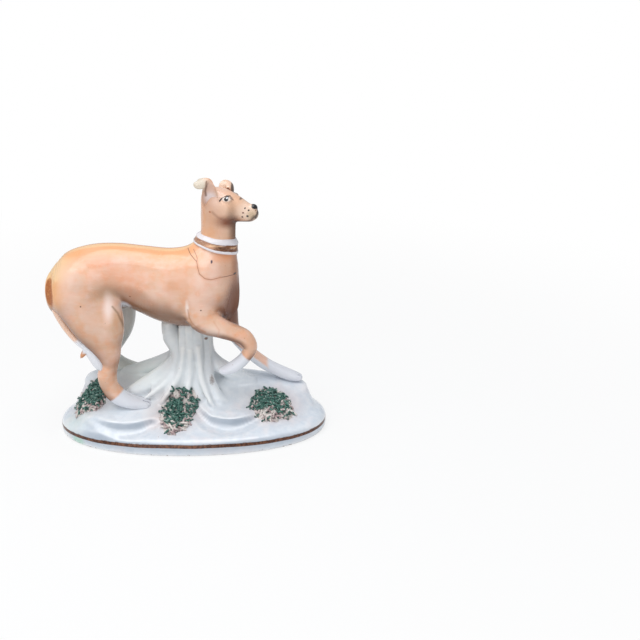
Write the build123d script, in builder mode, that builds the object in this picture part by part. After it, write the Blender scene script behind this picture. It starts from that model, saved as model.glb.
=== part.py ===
from build123d import *
from math import atan2, cos, pi, radians, sin, sqrt
import os

# Earthenware greyhound figure on an oval rock base, as the potter's pieces that are joined before firing.
# +X is the way the dog faces, -Y is the near side, +Z is up. The origin is at the middle of the underside.

# Overall sizes
base_length = 210.0
base_depth = 110.0
overall_height = 202.0

# Base: an upright rim, then a mound that climbs towards the back
rim_height = 9.0
rim_edge = 2.5
crest_height = 41.5
base_wall = 6.0
slab_thickness = 4.0
slab_ledge = 3.0
vent_diameter = 6.0

# Tree stump under the belly
stump_length = 32.5
stump_depth = 23.0
flute_count = 7
flute_points = 4
branch_diameter = 15.0

# Body and limbs: the largest section of each
chest_depth = 64.0
chest_width = 49.0
body_wall = 5.0
thigh_depth = 48.0
thigh_width = 26.0
arm_depth = 28.0
arm_width = 18.0
tail_depth = 8.8
tail_width = 10.0
sheath_depth = 10.0
sheath_width = 10.0

# Head, ears and collar
skull_depth = 23.0
skull_width = 22.0
muzzle_reach = 33.0
head_turn = -17.0
ear_breadth = 13.2
ear_thickness = 8.0
ear_hollow_radius = 4.0
collar_depth = 38.4
collar_width = 34.4

# Tufts of sieved clay
tuft_radius = 18.0
tuft_height = 5.5
tuft_sink = 5.0
strand_thickness = 1.5
strand_length = 9.0
strand_count = 16
strand_reach_share = 0.85
strand_tilt = 38.0
golden_angle = 137.5

# What follows from the sizes above
half_length = base_length / 2
half_depth = base_depth / 2
mound_rise = crest_height - rim_height
ground_share = 0.40
ground_height = rim_height + ground_share * mound_rise
standing_height = overall_height - ground_height
stance_share = 12 / 7
stance = standing_height / half_length / stance_share

# Mound rings above the rim: along, across, up, half length, half depth
mound_shares = (
    (0.000, 0.010, 0.09, 0.967, 0.945),
    (0.000, 0.055, 0.18, 0.925, 0.835),
    (0.000, 0.130, 0.31, 0.895, 0.700),
    (0.000, 0.200, 0.46, 0.870, 0.575),
    (-0.010, 0.265, 0.62, 0.838, 0.455),
    (-0.115, 0.310, 0.77, 0.725, 0.335),
    (-0.220, 0.335, 0.91, 0.550, 0.210),
    (-0.200, 0.345, 1.00, 0.300, 0.080),
)
near_ledge_shares = (
    (-0.475, -0.250, 0.03, 0.400, 0.540),
    (-0.475, -0.250, 0.15, 0.380, 0.510),
    (-0.475, -0.240, 0.33, 0.340, 0.410),
    (-0.475, -0.230, 0.40, 0.280, 0.310),
)
far_ledge_shares = (
    (0.335, -0.150, 0.00, 0.340, 0.480),
    (0.335, -0.150, 0.15, 0.322, 0.455),
    (0.335, -0.145, 0.32, 0.295, 0.420),
    (0.335, -0.140, 0.38, 0.240, 0.330),
)

root_swell_shares = (
    (-0.075, -0.250, 0.10, 0.250, 0.545),
    (-0.065, -0.215, 0.28, 0.230, 0.435),
    (-0.045, -0.165, 0.46, 0.215, 0.350),
    (-0.030, -0.090, 0.65, 0.200, 0.255),
    (-0.010, -0.020, 0.80, 0.185, 0.165),
)

# Stump rings, from the roots up: along, across, up, half length, half depth, flute depth
stump_shares = (
    (0.010, 0.07, 0.039, 2.58, 1.50, 0.12),
    (0.010, 0.07, 0.072, 2.34, 1.38, 0.12),
    (0.008, 0.07, 0.105, 2.02, 1.24, 0.11),
    (0.000, 0.06, 0.172, 1.40, 1.06, 0.09),
    (-0.014, 0.05, 0.250, 0.98, 1.00, 0.06),
    (-0.010, 0.04, 0.400, 1.14, 1.10, 0.04),
)
branch_shares = (
    (-0.080, 0.02, 0.270, 0.80, 0.80, 125),
    (-0.178, 0.02, 0.340, 1.00, 1.00, 130),
    (-0.208, 0.02, 0.362, 0.62, 0.62, 135),
)

# Rings of the figure: along, across, up, half depth, half width, and the way the ring faces, in degrees up from +X
trunk_shares = (
    (-1.018, 0, 0.513, 0.17, 0.22, 0),
    (-0.990, 0, 0.516, 0.43, 0.54, 0),
    (-0.900, 0, 0.531, 0.71, 0.85, 0),
    (-0.790, 0, 0.552, 0.83, 0.96, 0),
    (-0.650, 0, 0.581, 0.80, 0.96, 0),
    (-0.495, 0, 0.600, 0.72, 0.84, 0),
    (-0.333, 0, 0.574, 0.82, 0.86, 0),
    (-0.150, 0, 0.542, 0.93, 0.96, 0),
    (0.010, 0, 0.534, 1.00, 1.00, 2),
    (0.140, 0, 0.540, 1.03, 0.99, 6),
    (0.240, 0, 0.530, 0.92, 0.85, 10),
    (0.312, 0, 0.512, 0.70, 0.64, 12),
    (0.354, 0, 0.506, 0.30, 0.30, 12),
)
hollow_rows = (2, 4, 5, 6, 8, 10)
neck_shares = (
    (0.130, 0, 0.560, 0.82, 0.80, 56),
    (0.180, 0, 0.618, 0.76, 0.75, 60),
    (0.209, 0, 0.672, 0.635, 0.68, 66),
)
# From the collar joint up, the neck's sections are shares of the collar's
throat_shares = (
    (0.219, 0, 0.722, 0.8667, 0.8547, 75),
    (0.230, 0, 0.775, 0.7167, 0.7407, 85),
    (0.236, 0, 0.850, 0.6500, 0.6695, 90),
    (0.230, 0, 0.905, 0.5500, 0.5840, 92),
)
near_hind_shares = (
    (-0.790, -0.100, 0.650, 0.45, 0.75, -80),
    (-0.762, -0.200, 0.567, 0.70, 0.85, -80),
    (-0.729, -0.240, 0.500, 1.00, 0.97, -85),
    (-0.667, -0.291, 0.433, 0.93, 0.92, -76),
    (-0.634, -0.318, 0.367, 0.82, 0.85, -80),
    (-0.610, -0.327, 0.306, 0.55, 0.73, -82),
    (-0.579, -0.336, 0.214, 0.27, 0.52, -92),
    (-0.604, -0.336, 0.169, 0.32, 0.52, -80),
    (-0.593, -0.327, 0.117, 0.30, 0.50, -70),
    (-0.538, -0.309, 0.067, 0.31, 0.50, -50),
    (-0.440, -0.287, 0.033, 0.24, 0.54, -22),
    (-0.314, -0.245, 0.017, 0.13, 0.45, 0),
)
far_hind_shares = (
    (-0.790, 0.100, 0.650, 0.45, 0.75, -80),
    (-0.743, 0.190, 0.567, 0.70, 0.85, -80),
    (-0.695, 0.236, 0.500, 0.98, 0.95, -85),
    (-0.629, 0.273, 0.433, 0.90, 0.92, -76),
    (-0.590, 0.300, 0.367, 0.74, 0.85, -84),
    (-0.576, 0.318, 0.306, 0.54, 0.73, -90),
    (-0.610, 0.355, 0.217, 0.27, 0.52, -98),
    (-0.643, 0.364, 0.186, 0.31, 0.51, -82),
    (-0.633, 0.382, 0.153, 0.29, 0.48, -68),
    (-0.586, 0.391, 0.124, 0.28, 0.48, -45),
    (-0.519, 0.391, 0.107, 0.23, 0.52, -18),
    (-0.400, 0.373, 0.096, 0.12, 0.42, 0),
)
hock_row = 6
near_fore_shares = (
    (0.150, -0.200, 0.620, 0.85, 0.85, -90),
    (0.133, -0.255, 0.560, 1.00, 0.95, -95),
    (0.095, -0.309, 0.489, 0.96, 1.00, -98),
    (0.119, -0.364, 0.422, 0.79, 0.96, -62),
    (0.238, -0.400, 0.389, 0.57, 0.80, -24),
    (0.419, -0.422, 0.344, 0.47, 0.69, -34),
    (0.457, -0.422, 0.303, 0.40, 0.64, -88),
    (0.414, -0.418, 0.258, 0.34, 0.60, -125),
    (0.348, -0.418, 0.218, 0.34, 0.61, -140),
    (0.281, -0.409, 0.198, 0.29, 0.62, -162),
    (0.240, -0.409, 0.193, 0.19, 0.47, -175),
)
near_elbow_row = 4
far_fore_shares = (
    (0.200, 0.200, 0.489, 0.93, 1.00, -72),
    (0.257, 0.236, 0.400, 0.68, 0.89, -66),
    (0.295, 0.255, 0.303, 0.47, 0.72, -58),
    (0.438, 0.255, 0.185, 0.36, 0.61, -49),
    (0.529, 0.260, 0.139, 0.36, 0.61, -36),
    (0.686, 0.273, 0.086, 0.34, 0.73, -20),
    (0.752, 0.280, 0.069, 0.30, 0.73, -14),
    (0.803, 0.282, 0.058, 0.20, 0.53, -10),
)
far_elbow_row = 2
# Tail rings: the rump's or the thigh's middle, back and inward from it in thigh sizes, half depth, half width, facing
tail_shares = (
    (-0.945, -0.018, 0.560, 0, 0, 0.70, 0.75, -115),
    (-0.989, -0.027, 0.511, 0, 0, 1.00, 1.00, -93),
    (-0.680, -0.2800, 0.447, 0.6059, 0.4569, 1.00, 0.98, -74),
    (-0.621, -0.3230, 0.333, 0.4616, 0.2983, 0.95, 0.92, -56),
    (-0.591, -0.3325, 0.250, 0.2909, 0.1576, 1.12, 1.05, -51),
    (-0.585, -0.3360, 0.203, 0.2078, 0.0952, 1.10, 1.05, -58),
    (-0.602, -0.3360, 0.172, 0.1094, 0.0571, 0.60, 0.65, -60),
)
sheath_shares = (
    (-0.575, 0, 0.476, 0.70, 0.70, -12),
    (-0.530, 0, 0.464, 1.00, 1.00, -6),
    (-0.480, 0, 0.460, 0.95, 0.95, 4),
    (-0.440, 0, 0.464, 0.50, 0.50, 12),
)
collar_shares = (
    (0.2105, 0, 0.6945, 0.955, 0.955, 72),
    (0.2120, 0, 0.6985, 1.000, 1.000, 73),
    (0.2140, 0, 0.7060, 0.995, 0.995, 73),
    (0.2150, 0, 0.7085, 0.960, 0.960, 74),
    (0.2200, 0, 0.7275, 0.910, 0.915, 75),
    (0.2210, 0, 0.7305, 0.925, 0.930, 75),
    (0.2245, 0, 0.7430, 0.850, 0.865, 77),
    (0.2260, 0, 0.7495, 0.790, 0.820, 78),
)
near_ear_shares = (
    (0.200, -0.109, 0.920, 0.85, 1.00, 95),
    (0.190, -0.165, 0.968, 0.80, 0.85, 102),
    (0.162, -0.197, 0.993, 0.66, 0.82, 146),
    (0.103, -0.218, 0.985, 0.30, 0.60, 208),
)
near_ear_hollow_shares = (0.210, -0.235, 0.950)
far_ear_shares = (
    (0.262, 0.118, 0.910, 0.85, 0.95, 88),
    (0.274, 0.170, 0.943, 0.74, 0.85, 66),
    (0.302, 0.200, 0.956, 0.52, 0.80, 16),
    (0.340, 0.212, 0.946, 0.26, 0.60, -30),
)

# Head rings from the nape to the nose: reach, up, half depth, half width
skull_shares = (0.229, 0)
head_shares = (
    (-0.37, 0.910, 0.38, 0.40),
    (-0.21, 0.908, 0.80, 0.84),
    (0.00, 0.903, 1.00, 1.02),
    (0.26, 0.888, 0.97, 0.95),
    (0.50, 0.874, 0.84, 0.78),
    (0.83, 0.858, 0.56, 0.48),
    (0.94, 0.862, 0.44, 0.38),
    (0.99, 0.865, 0.28, 0.26),
)

# Tufts: name, place of the uphill edge on the mound, half length and half depth, slope and the way downhill in degrees
tufts = (
    ("leaf_clump_left", -0.7153, 0.0782, 0.6592, 0.66, 0.74, 34, -128),
    ("leaf_clump_middle", -0.0564, -0.1267, 0.7367, 0.76, 1.18, 27, -110),
    ("leaf_clump_right", 0.5583, 0.0101, 0.6663, 0.94, 0.88, 29, -66),
)
tuft_dome_shares = ((0, 1), (0.55, 0.84), (1, 0.30))


def place(along, across, up):
    """A point of the figure, from its shares of the base and of the standing height."""
    return Vector(along * half_length, across * half_depth, ground_height + up * standing_height)


def facing_plane(point, facing, turn=0):
    """A plane whose normal leans up from +X by facing degrees in the figure's own stance, turned about +Z by turn."""
    lean, way = atan2(sin(radians(facing)), stance * cos(radians(facing))), radians(turn)
    normal = Vector(cos(lean) * cos(way), cos(lean) * sin(way), sin(lean))
    sideways = Vector(-sin(way), cos(way), 0)
    return Plane(point, x_dir=sideways, z_dir=normal)


def slope_plane(point, slope, downhill):
    """A plane on the mound that falls by slope degrees the way that downhill points, in degrees from +X."""
    fall, way = radians(slope), radians(downhill)
    normal = Vector(sin(fall) * cos(way), sin(fall) * sin(way), cos(fall))
    return Plane(point, x_dir=(-sin(way), cos(way), 0), z_dir=normal)


def limb_rings(rows, depth, width, wall=0):
    """The ellipses that a limb's skin runs over, or its hollow with a wall."""
    rings = []
    for along, across, up, depth_share, width_share, facing in rows:
        with BuildSketch(facing_plane(place(along, across, up), facing)) as ring:
            Ellipse(width_share * width / 2 - wall, depth_share * depth / 2 - wall)
        rings.append(ring.sketch)
    return rings


def mound_rings(rows, drop=0):
    """Level ellipses of the mound above its rim, or of its hollow with a drop."""
    rings = []
    for along, across, up, length_share, depth_share in rows:
        point = Vector(along * half_length, across * half_depth, rim_height + up * mound_rise - drop)
        with BuildSketch(Plane(point)) as ring:
            Ellipse(length_share * half_length - drop, depth_share * half_depth - drop / 2)
        rings.append(ring.sketch)
    return rings


# Base: the press-moulded mound, its hollow, and the slab that closes it
with BuildPart() as mound_outside:
    rim_rings = []
    for level, inset in ((0, rim_edge), (rim_edge, 0), (rim_height, 0)):
        with BuildSketch(Plane.XY.offset(level)) as ring:
            Ellipse(half_length - inset, half_depth - inset)
        rim_rings.append(ring.sketch)
    loft(sections=rim_rings + mound_rings(mound_shares), ruled=True)
    loft(sections=mound_rings(near_ledge_shares), ruled=True)
    loft(sections=mound_rings(far_ledge_shares), ruled=True)
    loft(sections=mound_rings(root_swell_shares), ruled=True)

slab_half_length = half_length - base_wall
slab_half_depth = half_depth - base_wall

with BuildPart() as base_mound:
    add(mound_outside.part)
    with BuildSketch(Plane.XY):
        Ellipse(slab_half_length, slab_half_depth)
    extrude(amount=slab_thickness, mode=Mode.SUBTRACT)
    with BuildSketch(Plane.XY.offset(slab_thickness)) as floor_ring:
        Ellipse(slab_half_length - slab_ledge, slab_half_depth - slab_ledge)
    loft(sections=[floor_ring.sketch] + mound_rings(mound_shares[2:6], base_wall), ruled=True, mode=Mode.SUBTRACT)

with BuildPart() as base_underside:
    with BuildSketch(Plane.XY):
        Ellipse(slab_half_length, slab_half_depth)
        with Locations((-slab_half_length / 3, 0)):
            Circle(vent_diameter / 2, mode=Mode.SUBTRACT)
    extrude(amount=slab_thickness)

# Body: trunk, thighs and upper arms in the round, then the two moulded halves
with BuildPart() as body:
    loft(sections=limb_rings(trunk_shares, chest_depth, chest_width), ruled=True)
    neck_rings = limb_rings(neck_shares, chest_depth, chest_width)
    loft(sections=neck_rings + limb_rings(throat_shares[:1], collar_depth, collar_width), ruled=True)
    loft(sections=limb_rings(sheath_shares, sheath_depth, sheath_width), ruled=True)
    loft(sections=limb_rings(near_hind_shares[: hock_row + 1], thigh_depth, thigh_width), ruled=True)
    loft(sections=limb_rings(far_hind_shares[: hock_row + 1], thigh_depth, thigh_width), ruled=True)
    loft(sections=limb_rings(near_fore_shares[: near_elbow_row + 1], arm_depth, arm_width), ruled=True)
    loft(sections=limb_rings(far_fore_shares[: far_elbow_row + 1], arm_depth, arm_width), ruled=True)

with BuildPart() as body_hollow:
    rows = [trunk_shares[row] for row in hollow_rows]
    loft(sections=limb_rings(rows, chest_depth, chest_width, body_wall), ruled=True)

with BuildPart() as body_near_half:
    add(body.part)
    add(body_hollow.part, mode=Mode.SUBTRACT)
    split(bisect_by=Plane.XZ, keep=Keep.TOP)

with BuildPart() as body_far_half:
    add(body.part)
    add(body_hollow.part, mode=Mode.SUBTRACT)
    split(bisect_by=Plane.XZ, keep=Keep.BOTTOM)

# Head and neck above the collar joint
with BuildPart() as head:
    loft(sections=limb_rings(throat_shares, collar_depth, collar_width), ruled=True)
    head_rings = []
    for reach_share, up_share, depth_share, width_share in head_shares:
        middle = place(skull_shares[0], skull_shares[1], up_share)
        way = radians(head_turn)
        point = middle + Vector(cos(way), sin(way), 0) * (reach_share * muzzle_reach)
        with BuildSketch(facing_plane(point, 0, head_turn)) as ring:
            Ellipse(width_share * skull_width / 2, depth_share * skull_depth / 2)
        head_rings.append(ring.sketch)
    loft(sections=head_rings, ruled=True)
    add(body.part, mode=Mode.SUBTRACT)

with BuildPart() as near_ear:
    loft(sections=limb_rings(near_ear_shares, ear_breadth, ear_thickness), ruled=True)
    with Locations(place(near_ear_hollow_shares[0], near_ear_hollow_shares[1], near_ear_hollow_shares[2])):
        Sphere(ear_hollow_radius, mode=Mode.SUBTRACT)
    add(head.part, mode=Mode.SUBTRACT)

with BuildPart() as far_ear:
    loft(sections=limb_rings(far_ear_shares, ear_breadth, ear_thickness), ruled=True)
    add(head.part, mode=Mode.SUBTRACT)

with BuildPart() as collar:
    loft(sections=limb_rings(collar_shares, collar_depth, collar_width), ruled=True)
    add(body.part, mode=Mode.SUBTRACT)
    add(head.part, mode=Mode.SUBTRACT)

# Legs below their joints, seated on the mound
with BuildPart() as near_foreleg:
    loft(sections=limb_rings(near_fore_shares[near_elbow_row:], arm_depth, arm_width), ruled=True)
    add(body.part, mode=Mode.SUBTRACT)

with BuildPart() as far_foreleg:
    loft(sections=limb_rings(far_fore_shares[far_elbow_row:], arm_depth, arm_width), ruled=True)
    add(body.part, mode=Mode.SUBTRACT)
    add(mound_outside.part, mode=Mode.SUBTRACT)

with BuildPart() as near_hind_leg:
    loft(sections=limb_rings(near_hind_shares[hock_row:], thigh_depth, thigh_width), ruled=True)
    add(mound_outside.part, mode=Mode.SUBTRACT)

with BuildPart() as far_hind_leg:
    loft(sections=limb_rings(far_hind_shares[hock_row:], thigh_depth, thigh_width), ruled=True)
    add(mound_outside.part, mode=Mode.SUBTRACT)

with BuildPart() as tail:
    tail_rings = []
    for along, across, up, back_share, inward_share, depth_share, width_share, facing in tail_shares:
        point = place(along, across, up) + Vector(-back_share * thigh_depth, inward_share * thigh_width, 0)
        with BuildSketch(facing_plane(point, facing)) as ring:
            Ellipse(width_share * tail_width / 2, depth_share * tail_depth / 2)
        tail_rings.append(ring.sketch)
    loft(sections=tail_rings, ruled=True)
    add(body.part, mode=Mode.SUBTRACT)
    add(near_hind_leg.part, mode=Mode.SUBTRACT)

# Fluted stump with its cut branch, between the mound and the belly
with BuildPart() as tree_stump:
    stump_rings = []
    for along, across, up, length_share, depth_share, flute_share in stump_shares:
        half_ring_length, half_ring_depth = length_share * stump_length / 2, depth_share * stump_depth / 2
        outline = []
        for step in range(flute_count * flute_points):
            angle = 2 * pi * step / (flute_count * flute_points)
            swell = 1 + flute_share * cos(flute_count * angle)
            outline.append((half_ring_length * swell * cos(angle), half_ring_depth * swell * sin(angle)))
        with BuildSketch(Plane(place(along, across, up))) as ring:
            with BuildLine():
                Spline(outline, periodic=True)
            make_face()
        stump_rings.append(ring.sketch)
    loft(sections=stump_rings, ruled=True)
    loft(sections=limb_rings(branch_shares, branch_diameter, branch_diameter), ruled=True)
    add(body.part, mode=Mode.SUBTRACT)
    add(far_foreleg.part, mode=Mode.SUBTRACT)
    add(near_hind_leg.part, mode=Mode.SUBTRACT)
    add(mound_outside.part, mode=Mode.SUBTRACT)

# Tufts of sieved clay strands, pressed onto the mound
clumps = {}
for name, along, across, up, length_share, depth_share, slope, downhill in tufts:
    edge = Vector(along * half_length, across * half_depth, rim_height + up * mound_rise)
    tuft_half_length, tuft_half_depth = length_share * tuft_radius, depth_share * tuft_radius
    seat = edge - slope_plane(edge, slope, downhill).y_dir * tuft_half_depth
    seat_plane = slope_plane(seat, slope, downhill)
    with BuildPart() as clump:
        with BuildSketch(seat_plane.offset(-tuft_sink)) as root_ring:
            Ellipse(tuft_half_length, tuft_half_depth)
        rings = [root_ring.sketch]
        for height_share, reach_share in tuft_dome_shares:
            with BuildSketch(seat_plane.offset(height_share * tuft_height)) as ring:
                Ellipse(reach_share * tuft_half_length, reach_share * tuft_half_depth)
            rings.append(ring.sketch)
        loft(sections=rings, ruled=True)
        spots = []
        for index in range(strand_count):
            reach = strand_reach_share * sqrt((index + 1) / strand_count)
            angle = radians(index * golden_angle)
            height = tuft_height * (1 - reach**3)
            spot = (reach * tuft_half_length * cos(angle), reach * tuft_half_depth * sin(angle), height)
            turned = (0, strand_tilt * sin(index), index * golden_angle / 2)
            spots.append(seat_plane.location * Location(spot, turned))
        with Locations(spots):
            Box(strand_length, strand_thickness, strand_thickness)
        for neighbour in (mound_outside, near_hind_leg, tree_stump):
            add(neighbour.part, mode=Mode.SUBTRACT)
    clumps[name] = clump

pieces = {
    "base_mound": base_mound,
    "base_underside": base_underside,
    "tree_stump": tree_stump,
    "body_near_half": body_near_half,
    "body_far_half": body_far_half,
    "head": head,
    "near_ear": near_ear,
    "far_ear": far_ear,
    "collar": collar,
    "near_foreleg": near_foreleg,
    "far_foreleg": far_foreleg,
    "near_hind_leg": near_hind_leg,
    "far_hind_leg": far_hind_leg,
    "tail": tail,
    **clumps,
}

os.makedirs("parts", exist_ok=True)
for label, piece in pieces.items():
    piece.part.label = label
    export_step(piece.part, f"parts/{label}.step")
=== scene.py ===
"""Visual model of an earthenware greyhound figure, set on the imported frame.

Lengths are in millimetres until a mesh is written, which is in metres. +X is the way the dog faces, and
-Y is the near side.
"""

import logging
import math
from collections.abc import Iterable
from dataclasses import dataclass, field, replace
from enum import Enum
from functools import cached_property

import bmesh
import bpy
import numpy as np
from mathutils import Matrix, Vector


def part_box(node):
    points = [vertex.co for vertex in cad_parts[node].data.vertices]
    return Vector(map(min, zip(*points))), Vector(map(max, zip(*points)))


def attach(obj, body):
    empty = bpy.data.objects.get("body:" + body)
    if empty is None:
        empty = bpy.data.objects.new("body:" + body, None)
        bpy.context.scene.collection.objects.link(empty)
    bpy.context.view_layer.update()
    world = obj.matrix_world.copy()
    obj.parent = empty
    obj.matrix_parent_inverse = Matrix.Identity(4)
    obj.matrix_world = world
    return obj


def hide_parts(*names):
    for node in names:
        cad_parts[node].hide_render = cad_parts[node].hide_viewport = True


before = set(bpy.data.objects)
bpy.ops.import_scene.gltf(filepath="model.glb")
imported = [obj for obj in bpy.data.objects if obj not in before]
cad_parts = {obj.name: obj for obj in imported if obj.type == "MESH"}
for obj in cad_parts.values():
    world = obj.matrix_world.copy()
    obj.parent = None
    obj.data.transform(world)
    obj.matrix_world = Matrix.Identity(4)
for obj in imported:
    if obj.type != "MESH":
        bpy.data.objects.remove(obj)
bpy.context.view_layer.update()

import openvdb
from numpy.typing import NDArray

Array = NDArray[np.float32]
Row = tuple[float, ...]
Rows = tuple[Row, ...]
Box = tuple[Row, Row, Row]
Material = bpy.types.Material
log = logging.getLogger("figure")

METRE = 1000.0
TINY = 1e-6
# What a field holds far from any clay
FAR = 30.0
# How far past its own skin a limb or a heap, and a lump, is still worked out
MARGIN, LUMP_MARGIN = 5.0, 3.0


class Slot(Enum):
    """The record's material slots."""

    BASE = "base_glaze"
    BISQUE = "bisque"
    STUMP = "stump_glaze"
    FAWN = "fawn_glaze"
    EAR = "ear_glaze"
    COLLAR = "collar_gilt"
    PAW = "paw_glaze"
    TAIL = "tail_glaze"
    STRANDS = "green_strands"


def node_box(node: str) -> tuple[Array, Array]:
    """Gives a CAD node's lowest and highest corners.

    Args:
        node: The node's name.

    Returns:
        The two corners, in millimetres.
    """
    low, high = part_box(node)
    return np.array(low) * METRE, np.array(high) * METRE


HALF_LENGTH, HALF_DEPTH, CREST = (float(v) for v in node_box("base_mound")[1])
# A millimetre of the tables, which are drawn for a base that is 210 mm long
UNIT = HALF_LENGTH / 105.0
# The top of the rim, the mound above it, the level under the dog, and the height from there to the crown
RIM_HEIGHT = 9.0 * UNIT
MOUND_RISE = CREST - RIM_HEIGHT
GROUND = RIM_HEIGHT + 0.40 * MOUND_RISE
STANDING = 180.0 * UNIT


def place(along: float, across: float, up: float) -> Array:
    """Gives a point of the figure from its shares of the base and of the standing height."""
    return np.array([along * HALF_LENGTH, across * HALF_DEPTH, GROUND + up * STANDING])


def unit(vectors: Array) -> Array:
    """Gives the directions of some vectors."""
    return vectors / np.maximum(np.linalg.norm(vectors, axis=-1, keepdims=True), TINY)


def smooth_rows(rows: Array, steps: int) -> Array:
    """Puts more rows between the given ones, on the cubic curve that runs through them.

    Args:
        rows: One row of numbers for each ring.
        steps: How many rows each gap gets.

    Returns:
        The longer table, which keeps the first and the last row.
    """
    padded = np.vstack([2 * rows[0] - rows[1], rows, 2 * rows[-1] - rows[-2]])
    t = np.linspace(0, 1, steps, endpoint=False)[None, :, None]
    a, b, c, d = (padded[k : len(rows) - 1 + k, None, :] for k in range(4))
    inner = 2 * b + (c - a) * t + (2 * a - 5 * b + 4 * c - d) * t**2 + (3 * b - a - 3 * c + d) * t**3
    return np.vstack([0.5 * inner.reshape(-1, rows.shape[1]), rows[-1:]])


def limb_rows(rows: Rows, depth: float, width: float) -> Array:
    """Turns a limb's table of shares into rings in millimetres.

    Args:
        rows: Along, across, up, half depth, half width and facing of each ring.
        depth: The limb's full depth that a share of 1 means.
        width: The limb's full width that a share of 1 means.

    Returns:
        Rows of x, y, z, half depth, half width, facing and turn, the angles in radians.
    """
    table = np.array(rows, float)
    centres = np.array([place(*row[:3]) for row in table])
    halves = table[:, 3:5] * np.array([depth, width]) * UNIT / 2
    angles = np.column_stack([np.radians(table[:, 5]), np.zeros(len(table))])
    return np.hstack([centres, halves, angles])


def cord_rows(rows: Rows) -> Array:
    """Turns rows of x, y, z and radius into round rings."""
    table = np.array(rows, float) * UNIT
    return np.column_stack([table[:, :3], table[:, 3], table[:, 3], np.zeros((len(table), 2))])


def ring_axes(rows: Array) -> Array:
    """Gives each ring's depth, side and facing directions.

    Args:
        rows: One ring or many, with facing and turn in the last two columns.

    Returns:
        Three directions for each ring, the second last axis telling which.
    """
    facing, turn = rows[..., 5], rows[..., 6]
    ahead = np.stack([np.cos(facing) * np.cos(turn), np.cos(facing) * np.sin(turn), np.sin(facing)], -1)
    side = np.stack([-np.sin(turn), np.cos(turn), np.zeros_like(turn)], -1)
    return np.stack([np.cross(ahead, side), side, ahead], -2)


def ring_distance(axes: list[Array], start: Array, end: Array) -> Array:
    """Gives the distance to the ellipsoids that are carried from one ring to the next.

    Q is the way from the nearest point of the line between the rings, in the ring's own axes. Q over the half
    sizes has length g, Q over their squares has length h, and the distance is g (g - 1) / h.

    Args:
        axes: The x, y and z of the places.
        start: The first ring.
        end: The last ring.

    Returns:
        The distance at each place.
    """
    run = end[:3] - start[:3]
    d = [axes[k] - start[k] for k in range(3)]
    t = np.clip(sum(d[k] * run[k] for k in range(3)) / max(float(run @ run), TINY), 0, 1)
    q = [d[k] - t * run[k] for k in range(3)]
    first, last = ring_axes(start), ring_axes(end)
    halves = [start[3] + t * (end[3] - start[3]), start[4] + t * (end[4] - start[4])]
    halves.append(np.minimum(halves[0], halves[1]))
    g = h = 0.0
    for k in range(3):
        along = sum(q[j] * (first[k][j] + t * (last[k][j] - first[k][j])) for j in range(3))
        g = g + (along / halves[k]) ** 2
        h = h + (along / halves[k] ** 2) ** 2
    g, h = np.sqrt(g) + TINY, np.sqrt(h) + TINY
    return (g * (g - 1) / h).astype(np.float32)


def rounded(one: Array, other: Array, blend: float) -> Array:
    """Gives the greater of two distances, with the edge between them rounded.

    Where they differ by less than the blend, (1 - difference / blend)^2 x blend / 4 is added.
    """
    near = np.maximum(blend - np.abs(one - other), 0) / max(blend, TINY)
    return np.maximum(one, other) + near**2 * (blend / 4)


@dataclass(frozen=True)
class Lump:
    """An ellipsoid of clay that is put on or carved away.

    It has a middle, half sizes before it is turned, the reach of its rounded joint, its angle about +Z, and
    its angle up from the level before that turn. The angles are in degrees.
    """

    centre: Row
    half: Row
    blend: float
    carve: bool = False
    turn: float = 0.0
    lean: float = 0.0

    def on(self, side: int) -> "Lump":
        """Gives the same lump on the near side (-1) or the far side (1)."""
        x, y, z = self.centre
        return replace(self, centre=(x, side * y, z))


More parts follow.
